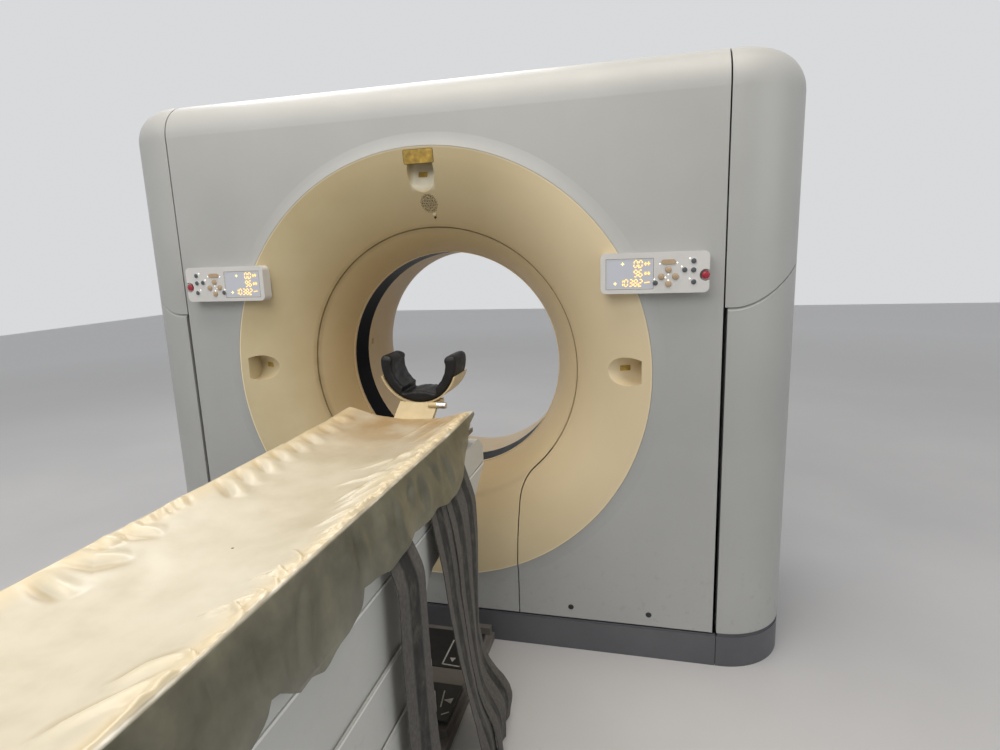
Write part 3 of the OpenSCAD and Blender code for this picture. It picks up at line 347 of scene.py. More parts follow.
# %% Give each CAD node its finish
KEYS = ("rocker", "key_up", "key_down", "key_out", "key_in")
FINISH = {
    cover_paint: "front_cover center_panel rear_cover upper_cover_left upper_cover_right side_cover_left "
                 "side_cover_right rear_base_cover",
    cream_abs: "front_dish bore_cone rear_cone",
    holder_plastic: "head_holder",
    couch_paint: "couch_shell couch_top middle_skirt lower_skirt",
    plinth_metallic: "plinth_front plinth_left plinth_right",
    black_acrylic: "scan_window",
    panel_abs: "panel_housing_left panel_housing_right",
    soft_key: " ".join(f"{key}_{side}" for key in KEYS for side in SIDES),
    stop_plastic: "stop_left stop_right",
    machined: "stand_left stand_right tilt_frame bearing_outer xray_tube hv_tank drive_pulley",
    cast_alloy: "rotor_drum",
    powder_coat: "base_frame drive_motor detector lift_column",
    base_coat: "couch_base",
    belt_rubber: "drive_belt",
    ring_brass: "slip_ring",
    carbon_skin: "tabletop",
    chrome: "holder_knob",
    dark_abs: "cover_screws",
    pedal_rubber: "pedal_lift pedal_slide",
}


def dress(name, material):
    for material_slot in nodes[name].material_slots:
        material_slot.material = material


for material, names in FINISH.items():
    for name in names.split():
        dress(name, material)
print("finished nodes:", sum(len(names.split()) for names in FINISH.values()))

# %% [markdown]
# ## Making a piece
# Every new piece is a mesh whose points are already in the frame's metres, so its object stays at the
# origin. `make_piece` takes points and faces, welds doubles, turns the faces outwards and shades them
# smooth up to an angle. The other functions here give the faces of forms that come back: a grid, a
# loft through closed rings, and a thin skin made of two equal grids, one behind the other.

# %% Piece helpers
def set_down(name, mesh, body):
    """An object for a finished mesh and on its body."""
    piece = add_object(name, mesh)
    mesh.shade_smooth()
    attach(piece, body)
    print("piece:", name, len(mesh.polygons), "faces")
    return piece


def make_piece(name, points, faces, material, slot, body, smooth=40.0, weld=1e-5, uv=None):
    mesh = bpy.data.meshes.new(name)
    mesh.from_pydata([tuple(p) for p in points], [], [tuple(f) for f in faces])
    if uv is not None:
        layer = mesh.uv_layers.new(name="flat")
        for loop in mesh.loops:
            layer.data[loop.index].uv = uv[loop.vertex_index]
    bm = bmesh.new()
    bm.from_mesh(mesh)
    if weld:
        bmesh.ops.remove_doubles(bm, verts=bm.verts, dist=weld)
    bmesh.ops.recalc_face_normals(bm, faces=bm.faces)
    bm.to_mesh(mesh)
    bm.free()
    mesh.materials.append(material)
    piece = set_down(name, mesh, body)
    if smooth < 180:
        mesh.set_sharp_from_angle(angle=math.radians(smooth))
    return piece


def grid_faces(rows, columns, closed=False):
    """Quads of points stored row after row. A closed grid joins its last column to its first."""
    wide = columns if closed else columns - 1
    return [(r * columns + c, r * columns + (c + 1) % columns, (r + 1) * columns + (c + 1) % columns,
             (r + 1) * columns + c) for r in range(rows - 1) for c in range(wide)]


def closed_loft(rings):
    """Points and faces of a row of closed rings, with both ends capped."""
    per, points = len(rings[0]), [point for ring in rings for point in ring]
    faces = grid_faces(len(rings), per, True)
    return points, faces + [tuple(range(per)), tuple(range(len(points) - per, len(points)))[::-1]]


def skin_faces(rows, columns):
    """Faces of two equal grids, the front one stored first, joined all along their edge."""
    n, front = rows * columns, grid_faces(rows, columns)
    edge = list(range(columns)) + [(r + 1) * columns - 1 for r in range(1, rows)]
    edge += [(rows - 1) * columns + c for c in range(columns - 2, -1, -1)]
    edge += [r * columns for r in range(rows - 2, 0, -1)]
    back = [tuple(i + n for i in face[::-1]) for face in front]
    return front + back + [(a, b, b + n, a + n) for a, b in zip(edge, edge[1:] + edge[:1])]


# %% [markdown]
# ## Folds, drawn as lines
# The sheet is creased by use, not at random: each crease has a place, a direction, a length and a
# width. So a fold is a bent line with a narrow valley along it and a puffed ridge on its left side,
# both fading out at the ends. Lines read from the photograph and a few dozen from a seeded generator
# then give a surface that looks pulled and pressed rather than noisy.

# %% Crease lines
def creases(u, v, lines):
    total = np.zeros_like(u)
    for points, width, valley, puff in lines:
        spans = [math.dist(a, b) for a, b in zip(points, points[1:])]
        nearest, across, share = np.full_like(u, 9.0), np.zeros_like(u), np.zeros_like(u)
        for i, (a, b) in enumerate(zip(points, points[1:])):
            du, dv = (b[0] - a[0]) / spans[i], (b[1] - a[1]) / spans[i]
            along = np.clip((u - a[0]) * du + (v - a[1]) * dv, 0, spans[i])
            su, sv = u - a[0] - along * du, v - a[1] - along * dv
            distance = np.hypot(su, sv)
            closer = distance < nearest
            nearest = np.where(closer, distance, nearest)
            across = np.where(closer, du * sv - dv * su, across)
            share = np.where(closer, (sum(spans[:i]) + along) / sum(spans), share)
        fade = np.sin(np.pi * np.clip(share, 0, 1)) ** 0.9
        overshoot = np.exp(-(np.maximum(0, nearest - np.abs(across)) / width) ** 2)
        ridge = puff * np.exp(-((across - 2.1 * width) / (1.5 * width)) ** 2)
        total += fade * overshoot * (ridge - valley * np.exp(-(across / width) ** 2))
    return total


def smooth_noise(v, rng, lengths, heights):
    """A sum of sines with seeded phases: slow, smooth drift along one direction."""
    return sum(h * np.sin(2 * math.pi * v / l + rng.uniform(0, 6.28)) for l, h in zip(lengths, heights))


# %% [markdown]
# ## The plastic sheet
# A thin soft sheet is drawn over the cream mattress and hangs down both sides. On top it takes the
# mattress's colour, and where it hangs free it is a darker olive grey, darkened further as painted
# shade, and lets the couch show through a little. A narrow clear welt runs along the edge between the
# two. It is built as one grid: rows run along the couch, closer where the folds are seen near by, and
# columns across it, from one hem over the top to the other. The hems are given as (y, z).

# %% Sheet: its cross-section and hems
SHEET_TOP, SHEET_SIDE = 110, 26     # columns on top, and down each side
TOP_HALF = TABLE_HALF - 0.002
EDGE_R = 0.007                      # the bend over the mattress's edge
BEND_SHARE = 0.14                   # the bend's share of a side's columns
SHEET_FLARE, FULL_DROP = 0.028, 0.14  # the sides stand out this far where they hang this deep
CROWD = 1.257                       # the larger, the closer the columns stand at the edges
ROWS_NEAR, ROWS_FAR = (-1.95, 427), (-1.957, 130)

rng = np.random.default_rng(7)
sheet_rows = np.concatenate([np.linspace(HEAD_Y + 0.004, *ROWS_NEAR),
                             np.linspace(ROWS_FAR[0], TAIL_Y, ROWS_FAR[1])])
right_inner, left_inner = in_mm("""
    -601 925, -646 873, -721 838, -773 810, -845 793, -887 791, -984 810, -1041 797, -1128 813, -1186 808,
    -1280 800, -1326 807, -1372 817, -1384 818, -1395 804, -1410 789, -1462 777, -1533 769, -1556 770,
    -1593 783, -1626 783, -1669 811, -1686 812, -1697 800, -1710 791, -1738 780, -1950 796, -2150 780,
    -2400 806, -2650 786; -610 900, -720 820, -900 790, -1150 806, -1420 782, -1700 804, -2050 785, -2300 806,
    -2600 784
""")
hem_right = [(HEAD_Y + 0.004, 0.940)] + right_inner + [(TAIL_Y - 0.001, 0.800)]
hem_left = [(HEAD_Y + 0.004, 0.940)] + left_inner + [(TAIL_Y - 0.001, 0.802)]


def sheet_points():
    """The draped sheet, and for each point how far down the side it lies, below 0 on top."""
    y = sheet_rows
    X = np.zeros((len(y), SHEET_TOP + 2 * SHEET_SIDE))
    Y, Z, past = np.repeat(y[:, None], X.shape[1], axis=1), np.zeros_like(X), np.zeros_like(X)
    mid = slice(SHEET_SIDE, SHEET_SIDE + SHEET_TOP)
    top_x = np.sin(np.linspace(-CROWD, CROWD, SHEET_TOP)) / math.sin(CROWD) * TOP_HALF
    X[:, mid] = top_x
    near_head = 0.007 * np.exp(-((y - HEAD_Y) / 0.12) ** 2)[:, None]
    corner = near_head * np.exp(-((np.abs(top_x) - 0.20) / 0.07) ** 2)
    Z[:, mid] = MATTRESS_TOP + 0.0025 - TABLE_DISH * (1 - (top_x / TABLE_HALF) ** 2) + corner
    past[:, mid] = np.abs(top_x) - TABLE_HALF + 0.002
    for sign, hem in ((1, hem_right), (-1, hem_left)):
        order = np.array(hem)[np.argsort([h[0] for h in hem])]
        waves = smooth_noise(y, rng, (0.31, 0.09), (0.002, 0.0015)) * (y < -0.75)
        low = np.interp(y, order[:, 0], order[:, 1]) + waves
        edge_z = Z[:, SHEET_SIDE]
        drop = np.maximum(0.002, edge_z - EDGE_R - low)
        for i, share in enumerate(np.linspace(0, 1, SHEET_SIDE + 1)[1:]):
            bend = min(1.0, share / BEND_SHARE) * math.pi / 2
            fall = max(0.0, (share - BEND_SHARE) / (1 - BEND_SHARE))
            column = SHEET_SIDE + SHEET_TOP + i if sign > 0 else SHEET_SIDE - 1 - i
            flare = SHEET_FLARE * fall ** 0.8 * np.clip(drop / FULL_DROP, 0, 1)
            X[:, column] = sign * (TOP_HALF + EDGE_R * math.sin(bend) + flare)
            Z[:, column] = edge_z - EDGE_R * (1 - math.cos(bend)) - drop * fall
            past[:, column] = EDGE_R * bend + drop * fall
    return X, Y, Z, past


X, Y, Z, past_edge = sheet_points()
print("sheet grid:", X.shape)

# %% [markdown]
# ### Its folds
# Folds lie on top as (points, width, valley, puff), with the points as (x, y). The named ones were
# read from the photograph: long pleats that run in from the right edge, crossed tucks near the
# couch's middle, a few broad folds behind them, and wide soft waves along the left edge. Short
# puckers then stand along both edges, where the sheet is gathered at the welt, and longer ones run
# obliquely at the head end. The hanging sides have their own upright folds, on (y, z).

# %% Sheet: folds on top and on the sides
LOWEST, HIGHEST = -0.0026, 0.012    # what the folds may sink and rise
PLEATS = in_mm("""
    185 -792, 150 -918, 107 -1045; 190 -896, 152 -1010, 109 -1112; 183 -961, 166 -1064, 126 -1182, 99 -1221;
    193 -1060, 158 -1154, 116 -1250; 197 -1136, 163 -1211, 122 -1300; 199 -1258, 170 -1302, 126 -1374;
    183 -1023, 117 -1088, 44 -1138; 188 -1103, 98 -1235; 165 -799, 153 -938, 37 -1030; 117 -526, 88 -624,
    49 -785; 165 -560, 140 -690, 100 -830; 222 -1182, 197 -1262, 186 -1392; 176 -1614, 150 -1654, 124 -1679;
    178 -1529, 165 -1557, 133 -1572
""")
TUCKS = in_mm("""
    217 -1678, 176 -1649; 226 -1624, 165 -1595; 223 -1601, 182 -1561; 210 -1560, 178 -1538; 218 -1531,
    193 -1496, 155 -1461; 193 -1614, 181 -1644, 133 -1676; 198 -1515, 178 -1538, 136 -1569; 221 -1774,
    210 -1768, 180 -1750; 211 -1667, 172 -1644
""")
BROAD = in_mm("""
    180 -1746, 138 -1782, 108 -1829; 200 -1776, 183 -1800, 146 -1849, 116 -1887, 100 -1930; 188 -1802,
    192 -1856, 196 -1897, 195 -1960
""")
WAVES = in_mm("""
    -218 -1200, -175 -1228, -126 -1267; -218 -1128, -180 -1160, -137 -1199; -218 -1056, -180 -1085, -139 -1122;
    -218 -985, -180 -1012, -147 -1038; -218 -914, -180 -938, -141 -966; -218 -835, -180 -862, -141 -889;
    -218 -740, -185 -762, -150 -785; -218 -655, -190 -672, -160 -690; -218 -1491, -180 -1482, -131 -1457;
    -218 -1541, -175 -1539; -218 -1603, -156 -1589, -114 -1543; -215 -1662, -168 -1675, -118 -1682
""")
SIDE_FOLDS = in_mm("""
    -998 936, -951 901, -926 845; -1102 939, -1101 913, -1123 876; -1049 925, -1038 874, -1034 820; -900 930,
    -868 880, -850 810; -1385 938, -1372 880, -1384 820; -1300 935, -1290 860; -1545 935, -1590 890, -1620 800;
    -1200 935, -1215 880, -1210 815; -1690 930, -1680 870, -1688 812; -1780 935, -1770 860
""")
PUCKERS = [(1, -0.56, -1.45, 0.019, 0.034, 0.0034), (1, -1.45, -1.80, 0.040, 0.045, 0.0045),
           (1, -1.80, TAIL_Y + 0.02, 0.055, 0.060, 0.006),
           (1, -0.555, -1.36, 0.036, 0.150, 0.0042, (1.05, 1.32)),
           (1, -0.56, -1.02, 0.045, 0.210, 0.0060, (0.95, 1.20)),
           (-1, -1.30, -1.47, 0.035, 0.060, 0.006), (-1, -1.72, TAIL_Y + 0.03, 0.06, 0.07, 0.008)]


def edge_puckers(side, first, last, step, reach, width, leans=(0.45, 1.0)):
    """Short tucks that start at the edge and lean towards the tail, a step apart."""
    lines, y = [], first
    while y > last:
        lean, length = rng.uniform(*leans), reach * rng.uniform(0.6, 1.2)
        foot = (side * rng.uniform(0.206, 0.216), y)
        tip = (foot[0] - side * length * math.cos(lean), y - length * math.sin(lean))
        lines.append(([foot, tip] if side > 0 else [tip, foot], width * rng.uniform(0.8, 1.3), 0.0024,
                      rng.uniform(0.0028, 0.0052)))
        y -= step * rng.uniform(0.7, 1.35)
    return lines


top_folds = [(line, *sizes) for lines, sizes in
             ((PLEATS, (0.0052, 0.0030, 0.0062)), (TUCKS, (0.0030, 0.0042, 0.0058)),
              (BROAD, (0.0085, 0.0035, 0.0090)), (WAVES, (0.0125, 0.0042, 0.0082))) for line in lines]
for plan in PUCKERS:
    top_folds += edge_puckers(*plan)
on_top = past_edge < 0
lift = creases(X, Y, top_folds) * np.clip(-past_edge / 0.006, 0, 1) ** 0.5
fold_height = np.clip(lift, LOWEST, HIGHEST) * on_top
lift += 0.0010 * (smooth_noise(Y + 0.8 * X, rng, (0.26, 0.17), (1, 0.8)) * smooth_noise(X, rng, (0.21,), (1,)))
Z += np.clip(lift, LOWEST, HIGHEST) * on_top

side_lines = [(line, 0.011, 0.0045, 0.0045) for line in SIDE_FOLDS]
side_lines += [([(y, 0.930), (y + rng.uniform(-0.03, 0.03), 0.81)], 0.014, 0.003, 0.005)
               for y in np.arange(-1.9, TAIL_Y, -0.11)]
hang = np.clip(past_edge / 0.05, 0, 1)
outwards = np.sign(X)
X += outwards * creases(Y, Z, side_lines) * hang * (past_edge > 0)
X += outwards * smooth_noise(Y, rng, (0.38, 0.21), (0.0035, 0.0025)) * hang ** 1.5
X += outwards * 0.0004 * np.sin(Y / 0.0045 + 2.0 * np.sin(Y / 0.09)) * np.exp(-((past_edge - 0.005) / 0.004) ** 2)
X = np.clip(X, -0.251, 0.251)
sheet_grid = np.stack([X, Y, Z], axis=-1)
print("highest fold:", round(float(lift.max()) * 1000, 1), "mm")

# %% [markdown]
# ### The sheet's material
# Each point carries its distance past the edge and the height of its fold, as attributes, and the
# colours follow them: cream on top, browner in the valleys as painted shade and paler on the crests as
# a painted highlight, a clear welt at the edge drawn as a pale grey band with painted glints, and an
# olive grey, darkened further as painted shade, that is partly clear on the hanging sides. Towards the
# head end the cream is browner, where heads and hands have rubbed it. Soft plastic has a broad, waxy
# gloss, so the roughness is middling with cloudy patches.

# %% Soft sheet
SPOT = (0.020, -1.457, 0.919)       # one dark spot near the couch's middle


def soft_sheet():
    material, tree, shader, where = start("soft_pvc_sheet", "#c6bea6", 0.36, Coat_Weight=0.2, Coat_Roughness=0.22,
                                          Subsurface_Weight=0.06, Subsurface_Radius=(0.02, 0.016, 0.01))
    past, fold = (put(tree, "ShaderNodeAttribute", {}, "Fac", attribute_name=name)
                  for name in ("past_edge", "fold_height"))
    y = put(tree, SPLIT, {"Vector": where}, "Y")
    blot = put(tree, NOISE, {"Vector": where, "Scale": 9.0, "Detail": 3.0}, "Fac")
    # The olive grey of the hanging sheet, darkened further as painted shade.
    olive_and_shade = clouds(tree, where, 9.0, [(0.3, "#53513f"), (0.55, "#6c6a58"), (0.8, "#87836c")])
    fallen = put(tree, RANGE, {"Value": past, "From Min": 0.0040, "From Max": 0.0080}, "Result")
    at_edge = put(tree, RANGE, {"Value": past, "From Min": -0.002, "From Max": 0.010}, "Result")
    welt = put(tree, RAMP, {"Fac": at_edge}, "Color", [
        (0.0, "#000000"), (0.12, "#000000"), (0.22, "#d8d8d8"), (0.68, "#c8c8c8"), (0.85, "#000000")])
    drawn = put(tree, MAPPING, {"Vector": where, "Scale": (1, 0.22, 1)}, "Vector")
    # The welt's pale grey, with painted glints: the glints are a painted highlight.
    welt_grey_and_glints = clouds(tree, drawn, 60.0, [(0.36, "#77756a"), (0.56, "#a3a196"), (0.74, "#ecebe4")], 3.0, 0.5)
    spot = put(tree, VECTOR, {0: where, 1: SPOT}, "Value", operation="DISTANCE")
    colour = clouds(tree, where, 6.0, [(0.28, "#b9b19a"), (0.5, "#c7bfaa"), (0.75, "#cfc8b6")])
    for shade, *fades in (
            ("#a98d63", (y, -1.02, -0.62, 0, 0.95), (blot, 0.2, 0.6, 0, 1)),    # the head end
            # Browner in the valleys: painted shade.
            ("#a08c64", (fold, -0.0020, -0.0002, 0.55, 0)),                     # valleys
            # Paler on the crests: painted highlight.
            ("#efe4c4", (fold, 0.0015, 0.0060, 0, 0.22)),                       # crests
            ("#dac8a2", (past, -0.050, -0.012, 0, 0.55)),                       # along the edge
            (olive_and_shade, fallen), (welt_grey_and_glints, welt),
            ("#2a211c", (spot, 0.0022, 0.0032, 1, 0))):
        colour = tint(tree, colour, shade, *fades)
    tree.links.new(colour, shader.inputs["Base Color"])
    clear = put(tree, RANGE, {"Value": fallen, "To Min": 1.0, "To Max": 0.88}, "Result")
    tree.links.new(clear, shader.inputs["Alpha"])
    handled(tree, shader, where, 0.06, 0.28, 0.44)
    grain(tree, shader, where, 0.014, 0.0007, 0.3, 4.0)
    return material


rows, columns = sheet_grid.shape[:2]
steps_along = np.linalg.norm(np.diff(sheet_grid[:, columns // 2], axis=0), axis=1)
steps_across = np.linalg.norm(np.diff(sheet_grid, axis=1), axis=2)
along = np.concatenate([[0], np.cumsum(steps_along)])
spread = np.concatenate([np.zeros((rows, 1)), np.cumsum(steps_across, axis=1)], axis=1)
flat_map = [(spread[r, c], along[r]) for r in range(rows) for c in range(columns)]
sheet = make_piece("cover_sheet_draped", sheet_grid.reshape(-1, 3), grid_faces(rows, columns), soft_sheet(),
                   "sheet_plastic", "table", 180, 0, flat_map)
for label, values in (("past_edge", past_edge), ("fold_height", fold_height)):
    sheet.data.attributes.new(label, "FLOAT", "POINT").data.foreach_set("value", values.astype(np.float32).ravel())
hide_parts("cover_sheet")

# %% [markdown]
# ## The mattress
# A slab of foam in a vinyl cover, dished along its middle like the tabletop that carries it. Only its
# head end shows, under the sheet. It is a closed loft: the same rounded section repeated along the
# couch, drawn in at both ends so that they are round and not cut.

# %% Mattress
MATTRESS_LOW, MATTRESS_SAG, MATTRESS_R = 0.8995, 0.025, 0.010   # lower edge, hollow below, corners


def mattress_ring(y, inset):
    half, top = TABLE_HALF - 0.003 - inset, MATTRESS_TOP - 0.001 - inset
    bottom, r = MATTRESS_LOW + inset, MATTRESS_R
    ring = []
    for i in range(21):
        x = -half + r + (2 * half - 2 * r) * i / 20
        ring.append((x, top - TABLE_DISH * (1 - (x / half) ** 2)))
    ring += [(half - r * (1 - math.sin(a)), top - r * (1 - math.cos(a))) for a in (0.5, 1.0, 1.5)]
    ring += [(half, bottom + r), (half - r * 0.3, bottom + r * 0.3), (half - r, bottom)]
    for i in range(19):
        x = half - r - (2 * half - 2 * r) * (i + 1) / 20
        ring.append((x, bottom - MATTRESS_SAG * (1 - (x / half) ** 2)))
    ring += [(-half + r, bottom), (-half + r * 0.3, bottom + r * 0.3), (-half, bottom + r)]
    ring += [(-half + r * (1 - math.sin(a)), top - r * (1 - math.cos(a))) for a in (1.5, 1.0, 0.5)]
    return [(x, y, z) for x, z in ring]


mattress_plan = [(HEAD_Y - 0.002, 0.010), (HEAD_Y - 0.005, 0.003), (HEAD_Y - 0.012, 0.0)]
mattress_plan += [(y, 0.0) for y in np.linspace(HEAD_Y - 0.05, TAIL_Y + 0.05, 60)]
mattress_plan += [(TAIL_Y + 0.017, 0.0), (TAIL_Y + 0.010, 0.003), (TAIL_Y + 0.007, 0.010)]
pad_vinyl = plain("padded_vinyl", "#c4b48e", 0.45, 0.12, 0.05, 0.0006, 0.003)
mattress = make_piece("mattress_pad", *closed_loft([mattress_ring(*plan) for plan in mattress_plan]), pad_vinyl,
                      "pad_vinyl", "table", 50)
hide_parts("mattress")

# %% [markdown]
# ## The head cushion
# A block of closed-cell foam, cut to a U that holds the head, wiped smooth and slightly greasy. Its
# bottom is cut flat, then hollowed to a thin spot on each side before the inner pads of the arms
# start with a step. It is swept along the U: at each angle the outer radius stays and the inner one
# changes, and the ends of the arms and both faces are rounded, so that it reads as soft.

# %% Head cushion
CUSHION_Z, CUSHION_R = 1.087, 0.135
CUSHION_Y0, CUSHION_Y1 = -0.450, -0.319
CUSHION_REACH, CUSHION_TIP = math.radians(94), 0.019    # how far round each arm runs, and its round end
INNER = [(0.0, 0.0970), (11.4, 0.0990), (20.0, 0.1070), (29.0, 0.1190), (31.0, 0.1175), (35.0, 0.1015),
         (50.0, 0.1000), (80.0, 0.0985), (92.0, 0.0950), (103.0, 0.0925)]   # (degrees, inner radius)
BETWEEN = {5: (0.33, 0.67), 17: (0.33, 0.67), 11: (0.12, 0.3, 0.5, 0.7, 0.88), 23: (0.12, 0.3, 0.5, 0.7, 0.88)}


def cushion_section(angle, shrink):
    """A rounded section across the foam at one angle, as (radius, y)."""
    inner = float(np.interp(math.degrees(abs(angle)), *zip(*INNER))) + shrink
    outer = CUSHION_R - shrink - 0.0005
    y0, y1, r = CUSHION_Y0 + shrink, CUSHION_Y1 - shrink, min(0.009, (outer - inner) / 2 - 0.0005)
    corners, section = [], []
    for cr, cy, a0 in ((outer - r, y1 - r, 0), (inner + r, y1 - r, 90), (inner + r, y0 + r, 180),
                       (outer - r, y0 + r, 270)):
        for k in range(6):
            a = math.radians(a0 + 18 * k)
            corners.append((cr + r * math.cos(a), cy + r * math.sin(a)))
    for i, p in enumerate(corners):
        q = corners[(i + 1) % len(corners)]
        section += [p] + [(p[0] + (q[0] - p[0]) * t, p[1] + (q[1] - p[1]) * t) for t in BETWEEN.get(i, ())]
    return section


def cushion_ring(angle, shrink):
    ring = []
    for radius, y in cushion_section(angle, shrink):
        if radius < CUSHION_R - 0.012:
            radius += 0.0010 * math.sin(14 * angle + 60 * y) * math.cos(9 * angle)
        ring.append((radius * math.sin(angle), y, CUSHION_Z - radius * math.cos(angle)))
    return ring


def worn_foam():
    material, tree, shader, where = start("closed_cell_foam", "#0d0d0e", 0.58, Specular_IOR_Level=0.3)
    drift(tree, shader, where, 0.05, [(0.3, "#080808"), (0.5, "#0f0f10"), (0.72, "#1a1a1b")])
    handled(tree, shader, where, 0.03, 0.36, 0.60)
    grain(tree, shader, where, 0.0018, 0.0006, 0.5)
    return material


arm_ends = [(CUSHION_REACH + CUSHION_TIP / CUSHION_R * math.sin(t * math.pi / 2),
             0.014 * (1 - math.cos(t * math.pi / 2))) for t in (0.3, 0.55, 0.8, 1.0)]
cushion_plan = [(-a, shrink) for a, shrink in arm_ends[::-1]]
cushion_plan += [(a, 0.0) for a in np.linspace(-CUSHION_REACH, CUSHION_REACH, 190)] + arm_ends
cushion = make_piece("head_cushion_foam", *closed_loft([cushion_ring(*plan) for plan in cushion_plan]), worn_foam(),
                     "cushion_foam", "table", 60)
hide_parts("head_cushion")

# %% [markdown]
# ## The straps
# Four wide hook-and-loop straps are anchored under the mattress's right edge and hang down outside
# the couch, three together near the head end and one by itself. The loop side is a dark nap in the
# middle with smoother, lighter borders. Each is a ribbon between two paths: the edge at the tail side
# and the edge at the head side, read from the photograph as (z, x). The three swing out near the
# floor, turn a little, and end on it in a loose heap, one on the other.

# %% Straps
FLOOR_GAP, SINGLE_GAP = 0.006, 0.034    # from the floor to the ends of the bundle and of the single strap
BUNDLE_TAIL, BUNDLE_HEAD, SINGLE_TAIL, SINGLE_HEAD = in_mm("""
    893 216.5, 850 220, 793 233.5, 652 256, 524 268, 394 290, 312 306, 200 328, 136 338, 60 349, 8 362;
    893 216.5, 850 221.5, 817 230.5, 730 258, 600 262, 491 260, 314 253, 216 266, 165 300, 130 334, 86 350,
    40 343, 8 336; 893 216.5, 850 220, 790 246, 740 260, 400 262, 30 266; 893 216.5, 850 220, 790 250, 740 270,
    400 275, 30 285
""")
STRAP_TOP, STRAP_T = 0.893, 0.0026
STRAP_ROWS, STRAP_COLUMNS = 130, 17
GATHERS_FROM = 0.62                 # share of a strap's length where the others start to crowd it


def path_x(path, z):
    table = np.array(path)[::-1]
    fine = np.linspace(z.min() - 0.03, z.max() + 0.03, 240)
    padded = np.pad(np.interp(fine, table[:, 0], table[:, 1]), 6, mode="edge")
    return np.interp(z, fine, np.convolve(padded, np.ones(13) / 13, "valid"))


def make_strap(centre, end_centre, width, end_width, low, tail_path, head_path, heads, tier, seed):
    """heads gives the shares from tail edge to head edge of the whole bundle that this strap takes."""
    rng = np.random.default_rng(seed)
    t = np.linspace(0, 1, STRAP_ROWS)
    z = STRAP_TOP - (STRAP_TOP - low) * t
    gather = np.clip((t - GATHERS_FROM) / (1 - GATHERS_FROM), 0, 1) ** 1.5
    y = centre + (end_centre - centre) * gather + smooth_noise(t, rng, (0.62, 0.31), (0.002, 0.001)) * t
    frayed = smooth_noise(t, rng, (0.17, 0.08, 0.035), (0.0022, 0.0020, 0.0013)) * t
    wide = width + (end_width - width) * gather + frayed
    tail_x, head_x = path_x(tail_path, z), path_x(head_path, z)
    front, back, flat = [], [], []
    for i in range(STRAP_ROWS):
        for a in np.linspace(-0.5, 0.5, STRAP_COLUMNS):
            share = heads[0] + (heads[1] - heads[0]) * (a + 0.5)
            x = tail_x[i] * (1 - share) + head_x[i] * share + tier * min(1.0, t[i] * 4)
            x += 0.0035 * (2 * a) ** 2 * math.sin(3.1 * t[i] + seed) * min(1.0, 3 * t[i])
            x += 0.006 * gather[i] * math.cos(2 * math.pi * a + seed)
            x += 0.0012 * math.sin(9 * t[i] + 7 * a + seed) * t[i]
            front.append((x + STRAP_T, y[i] + a * wide[i], z[i]))
            back.append((x, y[i] + a * wide[i], z[i]))
            flat.append((a, t[i]))
    return front + back, skin_faces(STRAP_ROWS, STRAP_COLUMNS), flat + flat


def velour():
    """Hook-and-loop tape: a brushed loop nap in the middle, woven borders."""
    material, tree, shader, where = start("loop_velour", "#3c3a36", 0.9, Sheen_Weight=0.06, Sheen_Roughness=0.4)
    tape = put(tree, "ShaderNodeUVMap", {}, "UV", uv_map="flat")
    side = put(tree, MATH, {0: put(tree, SPLIT, {"Vector": tape}, "X")}, "Value", operation="ABSOLUTE")
    drawn = put(tree, MAPPING, {"Vector": where, "Scale": (1, 1, 0.6)}, "Vector")
    nap = clouds(tree, drawn, 34.0, [(0.38, "#131312"), (0.52, "#272623"), (0.66, "#454239")], 5.0, 0.62, 0.2)
    weave = clouds(tree, drawn, 150.0, [(0.3, "#44423f"), (0.55, "#54514d"), (0.8, "#64615b")])
    tree.links.new(tint(tree, nap, weave, (side, 0.16, 0.22, 0, 1)), shader.inputs["Base Color"])
    grain(tree, shader, where, 0.0022, 0.0012, 0.8, 4.0)
    return material


STRAPS = [(-0.9502, -0.925, 0.106, 0.096, FLOOR_GAP, BUNDLE_TAIL, BUNDLE_HEAD, (0.0, 0.33), 0.000, 1),
          (-0.8497, -0.840, 0.108, 0.096, FLOOR_GAP, BUNDLE_TAIL, BUNDLE_HEAD, (0.33, 0.67), 0.006, 2),
          (-0.7492, -0.752, 0.106, 0.096, FLOOR_GAP, BUNDLE_TAIL, BUNDLE_HEAD, (0.67, 1.0), 0.001, 3),
          (-1.2100, -1.215, 0.124, 0.122, SINGLE_GAP, SINGLE_TAIL, SINGLE_HEAD, (0.0, 1.0), 0.000, 4)]
points, faces, flats = [], [], []
for plan in STRAPS:
    strap_points, strap_faces, strap_flat = make_strap(*plan)
    faces += [tuple(i + len(points) for i in f) for f in strap_faces]
    points += strap_points
    flats += strap_flat
straps = make_piece("hanging_straps", points, faces, velour(), "strap_velour", "table", 50, 0, flats)
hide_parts("straps")
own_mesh(straps)

# %% [markdown]
# ## The lit displays
# Behind each pale film, amber segments show plain numbers. A digit is seven bars, so one table of
# which bars are lit is enough. Each bar is a small hexagon with a brighter, narrower one in front of
# it, because the light is strongest along its middle. Each row ends in a small plain mark. They stand
# a tenth of a millimetre in front of the film and of each other, so that they never flicker. A dark
# line around each film is the gap to its housing.

# %% Display film and amber segments
SEGMENTS = {"0": "abcdef", "1": "bc", "2": "abged", "3": "abgcd", "6": "acdefg", "8": "abcdefg", "9": "abcdfg"}
DIGIT_ROWS = (("0.0", 0.0180), ("96", -0.0110), ("1038.2", -0.0400))    # text, height on the panel
DIGITS_END, DIGIT_STEP, DIGIT_W, DIGIT_H, SLANT = -0.0337, 0.0147, 0.0098, 0.0205, 0.08
FILM_Y = PANEL_FACE + 0.0006


def lit(name, colour, strength, rough=0.4):
    return start(name, colour, rough, Emission_Color=linear(colour), Emission_Strength=strength)[0]


